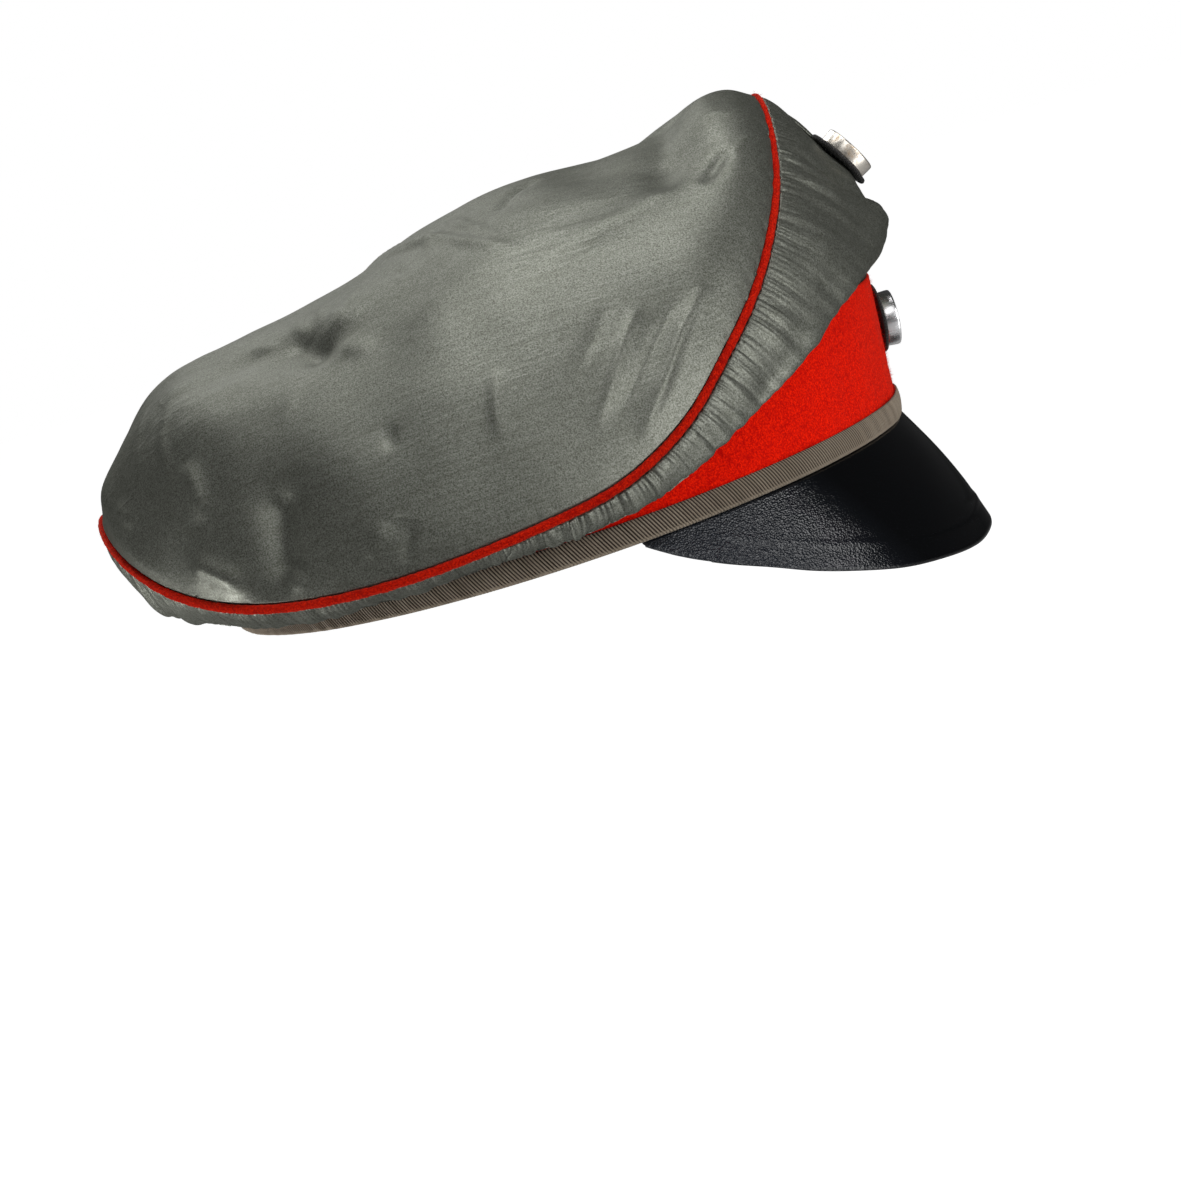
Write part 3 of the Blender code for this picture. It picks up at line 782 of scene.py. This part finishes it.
def wall_grid(angle, below, above):
    """The side wall: up from inside the band, round the fold and up to the piping, and for each
    point the share of the way: below 0 under the fold, and 0 to 1 from the fold to the piping."""
    beside = sin(radians(angle))
    fold_angle = angle + FOLD_SHIFT * beside
    start_angle = angle + BAND_SHIFT * beside
    start = band_points(start_angle, CLOTH_IN, BAND_TOP + 0.7)
    fold, end = fold_points(fold_angle), piping_points(angle)
    away = outward(fold_points, fold_angle)
    rise = radians(fold_rise(from_front(fold_angle)))[:, None]
    over_fold = away * cos(rise) + UP * sin(rise)
    off_band = away * cos(radians(40)) + UP * sin(radians(40))
    chord = end - fold
    span = norm(chord)[..., None]
    chord = chord / span
    mirrored = 2 * dot(chord, over_fold) * chord - over_fold
    seam = piping_way(angle, 1)
    arrive = chord + mirrored * 0.5
    arrive = unit(arrive - seam * dot(arrive, seam))
    end = end - arrive * PIPING_CLEARANCE
    low = bezier(start, start + off_band * 5, fold - over_fold * 7, fold, below)
    high = bezier(fold, fold + over_fold * span * 0.10, end - arrive * span * 0.23, end, above)
    hem = band_points(start_angle, CLOTH_IN + 0.15, BAND_TOP - 3)
    grid = concatenate([hem[:, None], low, high], axis=1)
    share = concatenate([[-1.2], np.asarray(below) - 1, above])
    return grid, share


def wall_fold_heights(angle, share):
    turn = (angle + 180) % 360 - 180
    height = zeros((len(angle), len(share)))
    for place, up, wide, tall, rise in WALL_FOLDS:
        height += rise * bell((turn - place) / wide)[:, None] * bell((share - up) / tall)
    return height


def make_wall(name, node, first, last, silk, seed):
    run = run_at(array((first, last - 1e-6)))
    columns = round((run[1] - run[0]) / WALL_COLUMN_WIDTH)
    angle = angle_at(linspace(run[0], run[1], columns + 1))
    below = linspace(0, 1, 12)[:-1]
    above = 1 - (1 - linspace(0, 1, 60)) ** 1.35
    grid, share = wall_grid(angle, below, above)
    place = np.broadcast_to(run_at(angle)[:, None], grid.shape[:2])
    square, away = nearest_on_piping(grid)
    away = maximum(away - PIPING_CLEARANCE, 0)
    calm = 1 - 0.45 * bell(from_front(angle) / 50, 4)[:, None]  # drawn up less in front
    height = gathers(square, away, PIPING_LENGTH, WALL_GATHERS, 80)
    height = height * clip(1.6 + share, 0, 1) * calm
    height += wall_fold_heights(angle, share)
    free = (clip(share + 1, 0, 1) * np.exp(-maximum(share - 0.75, 0) * 6))[None, :]
    along = np.cumsum(norm(np.diff(grid, axis=1, prepend=grid[:, :1])), axis=1)
    pulled = ripples(square, away * 0.16, 5.5, seed)  # long lines drawn down from the cord
    pulled = pulled + 0.8 * clip(np.abs(ripples(square, away * 0.20, 14, seed + 2)) - 0.9, 0, 1)
    height += free * (0.17 * pulled + 0.30 * ripples(place, along, 22, seed + 1))
    seam = minimum(place - run[0], run[1] - place)
    height -= 0.35 * bell(seam / 0.7) * free
    grid = grid + grid_normals(grid) * height[..., None]
    tucks = stack(tucked(angle, grid[:, -1], 90), axis=1)
    grid = concatenate([grid, tucks], axis=1)
    dress(thicken(grid_object(name, grid), SILK_THICKNESS), silk, "silk", node)


def make_walls(silk):
    quarters = (
        ("front_left", 0.05, 89.97), ("rear_left", 90.03, 179.95),
        ("rear_right", 180.05, 269.97), ("front_right", 270.03, 359.95),
    )
    for i, (side, first, last) in enumerate(quarters):
        make_wall(f"silk_{side}", f"crown_side_{side}", first, last, silk, 100 + 10 * i)


def make_piping(wool):
    """The cord under its wool: drawn in at each stitch, and thin at the very front."""
    rows, sides = 1500, 16
    run = arange(rows) * PIPING_LENGTH / rows
    angle = angle_at(run)
    centre = piping_points(angle)
    seam = unit(np.roll(centre, -1, axis=0) - np.roll(centre, 1, axis=0))
    out = unit(np.cross(seam, UP))
    side = np.cross(out, seam)
    turn = linspace(0, 2 * pi, sides, endpoint=False)
    stitches = round(PIPING_LENGTH / 2.6)
    drawn = 0.045 * np.abs(sin(pi * stitches * run / PIPING_LENGTH)) - 0.02
    lumps = 0.03 * ring_noise(run, PIPING_LENGTH, 7, 40)
    lumps += 0.02 * ring_noise(run, PIPING_LENGTH, 1.7, 41)
    thin = 1 - 0.38 * bell(from_front(angle) / 11)
    radius = (PIPING_RADIUS * thin * (1 + drawn + lumps))[:, None]
    radius = radius * (1 + 0.02 * sin(3 * turn + run[:, None] * 0.9))
    turn = turn[:, None]
    way = cos(turn) * out[:, None] + sin(turn) * side[:, None]
    grid = centre[:, None] + radius[..., None] * way
    dress(grid_object("wool_piping", grid, True, True), wool, "piping_wool", "crown_piping")


# ---- the band

def make_band(wool):
    """The wool band, turned over at the top and joined by a butted seam at the back."""
    angle = round_angles(620)
    top, low = BAND_TOP - 0.5, 1.4
    roll = (CLOTH_IN - CLOTH_OUT) / 2
    face = linspace(low, top - roll, 46)
    bend = linspace(0, pi, 9)[1:]
    rolled = CLOTH_OUT + roll - roll * cos(bend)
    inset = concatenate([np.full(len(face), CLOTH_OUT), rolled, [CLOTH_IN] * 3])
    height = concatenate([face, top - roll + roll * sin(bend), [top * 0.66, top * 0.33, low]])
    grid = band_points(angle[:, None], inset, height)
    shown = arange(len(inset)) < len(face)
    run = angle[:, None] / 360 * BAND_GIRTH
    lumps = 0.10 * ring_noise(run, BAND_GIRTH, 26, 20) + 0.06 * ripples(run, height, 9, 21)
    lumps = lumps * (1 - bell(angle / 4))[:, None] - 0.45 * bell((angle - 180) / 0.35)[:, None]
    out = band_out(angle)[:, None]
    grid = grid + out * (lumps * shown)[..., None]
    dress(grid_object("wool_band", grid, True, True), wool, "band_wool", "band_cloth")


def make_binding(ribbon):
    """The ribbed ribbon, folded under the band's edge. Its ribs lean a little."""
    samples = 6  # columns for each rib
    columns = round(BINDING_GIRTH / RIB_PITCH) * samples
    angle = round_angles(columns)
    inset, height = array((
        (3.4, 0.0), (0.9, 0.0), (0.30, 0.2), (0.0, 0.75), (-0.18, 1.8), (-0.30, 3.0), (-0.30, 4.2),
        (-0.18, 5.4), (0.0, 6.2), (0.25, 6.8), (0.55, 7.0), (0.9, 6.7),  # the outer face
        (0.9, 4.0), (0.9, 1.2), (1.4, 0.9), (3.4, 0.9),  # the inner face
    )).T
    shifted = angle[:, None] - height * RIB_LEAN * 360 / BINDING_GIRTH
    grid = band_points(shifted, inset, height)
    rib = 0.18 * cos(2 * pi * arange(columns) / samples)[:, None]
    near_front = bell(from_front(angle) / 17, 4)[:, None]
    run = angle / 360 * BINDING_GIRTH
    uneven = 1 + 0.25 * ring_noise(run, BINDING_GIRTH, 5, 30)[:, None]
    faded = array([0.0, 0.5] + [1.0] * 8 + [0.6, 0.2] + [0.0] * 4)
    out = band_out(angle)[:, None]
    soft = 0.12 * ring_noise(run, BINDING_GIRTH, 30, 31)[:, None]
    grid = grid + out * ((rib * uneven * (1 - 0.55 * near_front) + soft) * faded)[..., None]
    row = np.broadcast_to(arange(columns)[:, None] / samples, grid.shape[:2])
    up = np.broadcast_to(height, grid.shape[:2])
    binding = grid_object("ribbed_binding", grid, True, True, uv=stack([row, up / 10], -1))
    dress(binding, ribbon, "grosgrain", "lower_binding")


# ---- the visor

def visor_rows(angle, shares):
    """The visor's upper face: for each angle, points from its lower edge to the band."""
    place = angle * VISOR_SPREAD
    t = radians(place)
    x, y = VISOR_HALF_WIDTH * sin(t), VISOR_CENTRE - VISOR_HALF_LENGTH * cos(t)
    edge = points(x, y, -visor_drop(np.abs(place)))
    top = band_points(angle, VISOR_SEAM_INSET, -0.5 + 0 * angle, lean=False)
    away = outward(lambda at: band_points(at, 0, 0 * at), angle)
    bulge = away * norm(top - edge)[..., None] * 0.035
    s = np.asarray(shares)[None, :, None]
    return edge[:, None] * (1 - s) + top[:, None] * s + bulge[:, None] * sin(pi * s)


def make_visor(leather):
    angle = linspace(-VISOR_REACH, VISOR_REACH, 301)
    shares = concatenate([linspace(0, 0.5, 45)[:-1], linspace(0.5, 1, 25)])
    face = visor_rows(angle, shares)
    down = norm(face - face[:, :1])
    ridge = 0.16 * bell((down - 8.5) / 1.2) - 0.06 * bell((down - 10.8) / 1.4)
    lip = -0.35 * bell(down / 0.5)
    lumps = 0.05 * ripples(angle[:, None] * 1.9, down, 26, 50)
    room = clip(norm(face[:, -1:] - face) / 6, 0, 1)
    face = face + grid_normals(face) * (ridge * room + lip + lumps * room)[..., None]
    taper = clip((VISOR_REACH - np.abs(angle)) / 4.5, 0, 1)[:, None, None]
    taper = taper * (2 - taper)
    face = face[:, -1:] + (face - face[:, -1:]) * (0.12 + 0.88 * taper)
    flange_height = FLANGE_TOP * minimum(1, (VISOR_REACH - np.abs(angle)) / 8 + 0.3)
    corner = band_points(angle, FLANGE_INSET, -0.45 + 0 * angle, lean=False)
    flange = band_points(angle, FLANGE_INSET, flange_height, lean=False)
    grid = concatenate([face, corner[:, None], flange[:, None]], axis=1)
    visor = thicken(grid_object("leather_visor", grid), VISOR_THICKNESS)
    dress(visor, leather, "visor_leather", "visor_shell")


def make_visor_lining(leather):
    angle = linspace(-VISOR_LINING_REACH, VISOR_LINING_REACH, 181)
    face = visor_rows(angle, linspace(0.02, 0.84, 30))
    inner = face - grid_normals(face) * 1.15
    lining = thicken(grid_object("visor_underside", inner), 0.6)
    dress(lining, leather, "visor_lining_leather", "visor_lining")


# ---- the cockades

def node_frame(node):
    """The middle of a round CAD node, its axis (which faces out of the cap) and two ways across."""
    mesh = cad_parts[node].data
    flat = np.empty(len(mesh.vertices) * 3)
    mesh.vertices.foreach_get("co", flat)
    world = array(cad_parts[node].matrix_world)
    place = (flat.reshape(-1, 3) @ world[:3, :3].T + world[:3, 3]) / MM
    middle = place.mean(axis=0)
    axis = np.linalg.eigh(np.cov((place - middle).T))[1][:, 0]
    axis = axis if axis[1] < 0 else -axis
    low = ((place - middle) @ axis).min()
    across = array((1.0, 0.0, 0.0))
    return middle + axis * low, axis, across, np.cross(axis, across)


def turned(name, node, profile, wobble, sides=192, raise_by=0.0):
    """A round piece on a CAD node's own axis, from (radius, height) pairs over the node's base.
    Wobble gives what is added to each radius and height at each turn."""
    base, axis, across, up = node_frame(node)
    base = base + up * np.sign(up[2]) * raise_by
    turn = linspace(0, 2 * pi, sides, endpoint=False)
    radius, height = array(profile, float).T
    more_radius, more_height = wobble(turn[:, None], radius, height)
    radius, height = radius + more_radius, height + more_height
    way = cos(turn)[:, None, None] * across + sin(turn)[:, None, None] * up
    grid = base + radius[..., None] * way + height[..., None] * axis
    return grid_object(name, grid, True, True)


def rounded(profile, size, steps=4):
    """The profile with each corner cut off by a short curve."""
    profile = array(profile, float)
    before, after = np.roll(profile, 1, axis=0), np.roll(profile, -1, axis=0)
    made = []
    for here, back, on in zip(profile, before, after):
        sides = back - here, on - here
        reach = min([size] + [np.linalg.norm(side) * 0.45 for side in sides])
        start, end = (here + unit(side) * reach for side in sides)
        for s in linspace(0, 1, steps):
            made.append((1 - s) ** 2 * start + 2 * s * (1 - s) * here + s * s * end)
    return made


def make_cockade(name, metal, disc_wool, middle_wool, middle_slot, seed):
    """A metal drum round a wool middle, on a disc of black wool cord."""
    def dented(turn, radius, height):
        lumps = 0.012 * cos(2 * turn + seed) + 0.005 * cos(5 * turn + 2 * seed)
        return lumps + 0 * radius, 0.012 * cos(3 * turn + seed) * (height > 2)

    profile = rounded([(6.75, 0), (8.1, 0), (8.3, 3.0), (8.3, 4.3), (6.9, 4.3)], 0.5)
    ring = turned(f"{name}_drum", f"{name}_ring", profile, dented)
    dress(ring, metal, "cockade_metal", f"{name}_ring")

    def corded(turn, radius, height):
        cord = np.abs(cos(turn * 31)) * clip(radius / 10.8, 0, 1) ** 2
        stray = 0.22 * cos(turn * 7 + seed) + 0.15 * cos(turn * 17 + 2 * seed)
        rim = clip(radius - 9.8, 0, 1)
        return 0.45 * cord * rim - 0.2 * rim, 0.30 * cord * (height > 0.5) + stray * rim * 0.6

    profile = rounded([(0.4, 0), (10.1, 0), (10.4, 0.45), (10.0, 0.9), (9.0, 0.95), (6.0, 0.95),
                       (3.0, 0.9), (0.4, 0.9)], 0.3, 3)
    disc = turned(f"{name}_disc", f"{name}_backing", profile, corded, sides=496, raise_by=0.8)
    dress(disc, disc_wool, "cockade_wool", f"{name}_backing")

    def felted(turn, radius, height):
        lumps = 0.10 * cos(4 * turn + seed) * cos(radius * 1.3)
        lumps = lumps + 0.07 * cos(11 * turn - radius)
        return 0 * radius, lumps * (height > 1) * clip(radius / 3, 0, 1)

    profile = rounded([(0.15, 0), (6.35, 0), (6.4, 1.8), (5.4, 2.5), (3.8, 2.8), (2.0, 2.95),
                       (0.15, 3.0)], 0.35, 3)
    middle = turned(f"{name}_middle", f"{name}_centre", profile, felted)
    dress(middle, middle_wool, middle_slot, f"{name}_centre")


def make_fuzz(name, roots, ways, lengths, thickness, wool, slot, seed):
    """Loose wool fibres: each a thin curved strand from its root."""
    rng = np.random.default_rng(seed)
    count = len(roots)
    bend = unit(rng.normal(size=(count, 3))) * lengths[:, None] * 0.75
    bend[:, 2] -= 0.1 * lengths
    side = unit(np.cross(ways, rng.normal(size=(count, 3))))
    other = unit(np.cross(ways, side))
    rows = []
    for s, wide in ((0, 1), (0.45, 0.8), (1, 0.25)):
        centre = roots + ways * (lengths * s)[:, None] + bend * s * s
        for turn in (0, 2.094, 4.189):  # thirds of a turn
            way = cos(turn) * side + sin(turn) * other
            rows.append(centre + way * thickness * wide / 2)
    vertices = stack(rows, axis=1).reshape(-1, 3)
    pattern = np.roll(grid_faces(3, 3, closed_columns=True)[:, ::-1], 1, axis=1)
    faces = (arange(count)[:, None, None] * 9 + pattern).reshape(-1, 4)
    dress(build_mesh(name, vertices, faces), wool, slot)


def make_wool_fuzz(band_wool, piping_wool):
    rng = np.random.default_rng(5)
    around, front = 5200, 1500  # fibres all round the band, and more where its edge is seen
    angle = concatenate([rng.uniform(0, 360, around), rng.uniform(-16, 16, front)])
    height = concatenate([rng.uniform(6.6, 41, around), rng.uniform(7, 41, front)])
    low = rng.uniform(size=len(angle)) < 0.3  # these are along the binding
    height = np.where(low, rng.uniform(6.3, 7.6, len(angle)), height)
    roots = band_points(angle, CLOTH_OUT + 0.05, height)
    ways = unit(band_out(angle) + rng.normal(0, 0.45, (len(angle), 3)))
    lengths = rng.uniform(0.25, 0.85, len(angle))
    make_fuzz("wool_band_nap", roots, ways, lengths, 0.06, band_wool, "band_wool", 6)
    run = rng.uniform(0, PIPING_LENGTH, 3600)
    angle = angle_at(run)
    seam = piping_way(angle, 0.5)
    ways = rng.normal(size=(len(run), 3))
    ways = unit(ways - seam * dot(ways, seam))
    roots = piping_points(angle) + ways * (PIPING_RADIUS - 0.12)
    lengths = rng.uniform(0.2, 0.6, len(run))
    make_fuzz("wool_piping_nap", roots, ways, lengths, 0.05, piping_wool, "piping_wool", 7)


# ---- inside

def make_sweatband(leather):
    angle = round_angles(360)
    side = linspace(0.5, SWEATBAND_TOP - 0.5, 26)
    depth = array([0.0] * 26 + [0.5] + [1.0] * 26 + [0.5])  # 0 on the outer face, 1 on the inner
    height = concatenate([side, [SWEATBAND_TOP], side[::-1], [0.0]])
    inset = SWEATBAND_INSET + SWEATBAND_THICKNESS * depth
    grid = band_points(angle[:, None], inset, height, lean=False)
    run = angle[:, None] / 360 * SWEATBAND_GIRTH
    wave = ripples(run * 0.35, height, 11, 23) * sin(pi * height / SWEATBAND_TOP)
    out = band_out(angle)[:, None]
    grid = grid - out * (0.16 * wave * (depth == 1))[..., None]
    sweatband = grid_object("leather_sweatband", grid, True, True)
    dress(sweatband, leather, "sweat_leather", "sweatband")


def make_lining_top(cotton):
    """The cotton lining's top, creased towards its edge."""
    cells = 90
    angle, grid = top_places(cells)
    middle = array((0, PIPING_MIDDLE))
    plan = middle + (grid[..., :2] - middle) * LINING_SHARE
    x, y = plan[..., 0], plan[..., 1]
    under = on_top(x, y, below=7.5)
    far = norm(plan - middle) / 85
    crease = 0.35 * ring_noise(angle, 360, 7, 25) * clip(far, 0, 1) ** 2
    crease += 0.25 * ripples(x, y, 18, 26)
    lining = thicken(grid_object("cotton_lining_top", under + points(0, 0, crease)), 0.5)
    dress(lining, cotton, "lining_cotton", "crown_top_lining")


def make_lining_side(cotton):
    """The lining's wall: gathered where it meets the top."""
    angle = round_angles(540)
    middle = array((0, PIPING_MIDDLE, 0))
    share = LINING_SHARE * interp(angle, ROUND, SHARES)[:, None]
    plan = middle + (piping_points(angle) * (1, 1, 0) - middle) * share
    head = on_top(plan[:, 0], plan[:, 1], below=8.6)
    foot = band_points(angle, LINING_INSET, 38.0)
    knee = band_points(angle, LINING_INSET, BAND_TOP + 0.5)
    s = linspace(0, 1, 16)[None, :, None]
    wall = knee[:, None] * (1 - s) + head[:, None] * s
    grid = concatenate([foot[:, None], wall], axis=1)
    fold = np.abs(ring_noise(angle, 360, 4.5, 27))[:, None]
    fold = 0.30 * fold * linspace(0, 1, 17) ** 1.5
    inward = -unit(wall.mean(axis=1) * (1, 1, 0))[:, None]
    grid = grid + inward * fold[..., None]
    lining = thicken(grid_object("cotton_lining_side", grid, True), 0.4)
    dress(lining, cotton, "lining_cotton", "crown_side_lining")


def make_front_stay(buckram):
    """The stiff strip behind the silk at the forehead, dented with it."""
    angle = linspace(-14.5, 14.5, 40) % 360
    grid, share = wall_grid(angle, linspace(0, 1, 3)[:-1], linspace(0.05, 0.75, 30))
    grid = grid + grid_normals(grid) * (wall_fold_heights(angle, share) - 1.9)[..., None]
    stay = thicken(grid_object("buckram_stay", grid[:, 3:]), 0.7)
    dress(stay, buckram, "buckram", "front_stay")


# ---- camera, light and floor

CAMERA_PLACE = (-0.7516, 0.0262, 0.1233)
CAMERA_TURNS = (-91.87, 11.11, -18.01)  # its azimuth and elevation from the cap, and its roll
CAMERA_LENS = 76.97


def make_camera():
    """The camera at the wearer's right, a little above the band, and tipped with the head."""
    azimuth, elevation, roll = radians(CAMERA_TURNS)
    level = cos(elevation)
    back = Vector((sin(azimuth) * level, -cos(azimuth) * level, sin(elevation)))
    data = bpy.data.cameras.new("camera")
    data.sensor_width = 36
    data.lens = CAMERA_LENS
    camera = new_object("camera", data)
    camera.location = CAMERA_PLACE
    camera.rotation_mode = "QUATERNION"
    camera.rotation_quaternion = (-back).to_track_quat("-Z", "Y") @ Quaternion((0, 0, 1), roll)
    bpy.context.scene.camera = camera


# Each light's name, place, size, power in watts, and what it is aimed at, in metres.
LIGHTS = (
    ("key", (-0.04, -0.04, 0.66), 0.50, 3.0, (0, -0.01, 0.08)),
    ("strip", (-0.66, -0.04, 0.55), 0.50, 1.1, (-0.04, 0, 0.05)),
    ("low_back", (-0.14, 0.56, -0.16), 0.30, 2.4, (-0.05, 0.08, 0.02)),
    ("low_front", (-0.34, -0.36, -0.24), 0.30, 0.5, (-0.02, -0.10, 0.06)),
    ("camera_side", (-0.92, -0.84, 0.20), 0.9, 11, (0, 0.01, 0.05)),
    ("far_side", (0.85, 0.25, 0.75), 0.8, 6, (0, 0.01, 0.05)),
)


def make_light(name, place, size, power, aim):
    data = bpy.data.lights.new(name, "AREA")
    data.shape = "DISK"
    data.size = size
    data.energy = power
    light = new_object(name, data)
    light.visible_camera = False
    light.location = place
    light.rotation_mode = "QUATERNION"
    light.rotation_quaternion = (Vector(aim) - Vector(place)).to_track_quat("-Z", "Y")


def make_world(strength):
    """A white room: its full brightness behind the object, and less of it as light."""
    world = bpy.data.worlds.new("white_room")
    world.use_nodes = True
    bpy.context.scene.world = world
    tree = world.node_tree
    background = tree.nodes["Background"]
    background.inputs["Color"].default_value = (1, 1, 1, 1)
    path = tree.nodes.new("ShaderNodeLightPath")
    level = tree.nodes.new("ShaderNodeMapRange")
    level.inputs["To Min"].default_value = strength
    level.inputs["To Max"].default_value = 1.0
    tree.links.new(path.outputs["Is Camera Ray"], level.inputs["Value"])
    tree.links.new(level.outputs["Result"], background.inputs["Strength"])


def make_floor():
    half = 6000
    corners = [(-half, -half, 0), (half, -half, 0), (half, half, 0), (-half, half, 0)]
    floor = build_mesh("floor", corners, [(0, 1, 2, 3)])
    floor.location.z = -HEAD_FORM_HEIGHT
    look = Look("pale_floor", Roughness=0.9, Specular_IOR_Level=0.1)
    grain = look.noise(3, detail=3)
    look.colour(look.mixed(grain, (0.42, 0.42, 0.42), (0.45, 0.45, 0.45)))
    path = look.node("LightPath")
    glow = look.ranged(path.outputs["Is Camera Ray"], 0, 1, 0, 0.99)
    look.fill(look.shader, Emission_Color=(1, 1, 1, 1), Emission_Strength=glow)
    floor.data.materials.append(look.material)


def main():
    bpy.context.scene.view_settings.view_transform = "Standard"
    make_camera()
    make_world(0.04)
    for light in LIGHTS:
        make_light(*light)
    make_floor()

    silk = silk_look()
    make_top(silk)
    make_walls(silk)
    cord_wool = wool_look("piping_wool", (0.52, 0.013, 0.002), (0.24, 0.002, 0.001), 0.6)
    band_wool = wool_look("band_wool", (0.86, 0.014, 0.001), (0.46, 0.002, 0.001))
    make_piping(cord_wool)
    make_band(band_wool)
    make_wool_fuzz(band_wool, cord_wool)
    make_binding(grosgrain_look())
    make_visor(visor_look())
    make_visor_lining(
        leather_look("visor_lining_leather", (0.035, 0.042, 0.028), (0.018, 0.022, 0.015), 0.5))
    make_sweatband(leather_look("sweat_leather", (0.42, 0.25, 0.13), (0.27, 0.145, 0.07), 0.5))
    cotton = cotton_look("lining_cotton", (0.46, 0.40, 0.29), (0.34, 0.28, 0.19))
    make_lining_top(cotton)
    make_lining_side(cotton)

    buckram = cotton_look("buckram", (0.52, 0.45, 0.33), (0.40, 0.33, 0.23), 900)
    steel = metal_look("prong_steel", (0.60, 0.57, 0.50), (0.25, 0.18, 0.10), 0.1, 0.35)
    silver = metal_look("cockade_metal", (0.92, 0.92, 0.93), (0.62, 0.58, 0.52), 0.03, 0.26)
    tarnished = metal_look("cockade_metal_worn", (0.84, 0.79, 0.71), (0.42, 0.33, 0.24), 0.12, 0.28)
    black = ribbed_wool_look("cockade_wool", (0.030, 0.028, 0.027), (0.006, 0.006, 0.006))
    red = wool_look("cockade_red_wool", (0.55, 0.020, 0.010), (0.30, 0.006, 0.004))
    ribbon = cotton_look("bow_ribbon", (0.030, 0.030, 0.032), (0.015, 0.015, 0.016))
    make_front_stay(buckram)
    make_cockade("upper_cockade", tarnished, black, red, "cockade_red_wool", 1)
    make_cockade("lower_cockade", silver, black, black, "cockade_wool", 2)
    kept = {
        "band_stiffener": buckram, "sweatband_bow": ribbon,
        "upper_cockade_prongs": steel, "lower_cockade_prongs": steel,
    }
    for node, material in kept.items():
        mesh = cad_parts[node].data
        mesh.materials.clear()
        mesh.materials.append(material)


main()
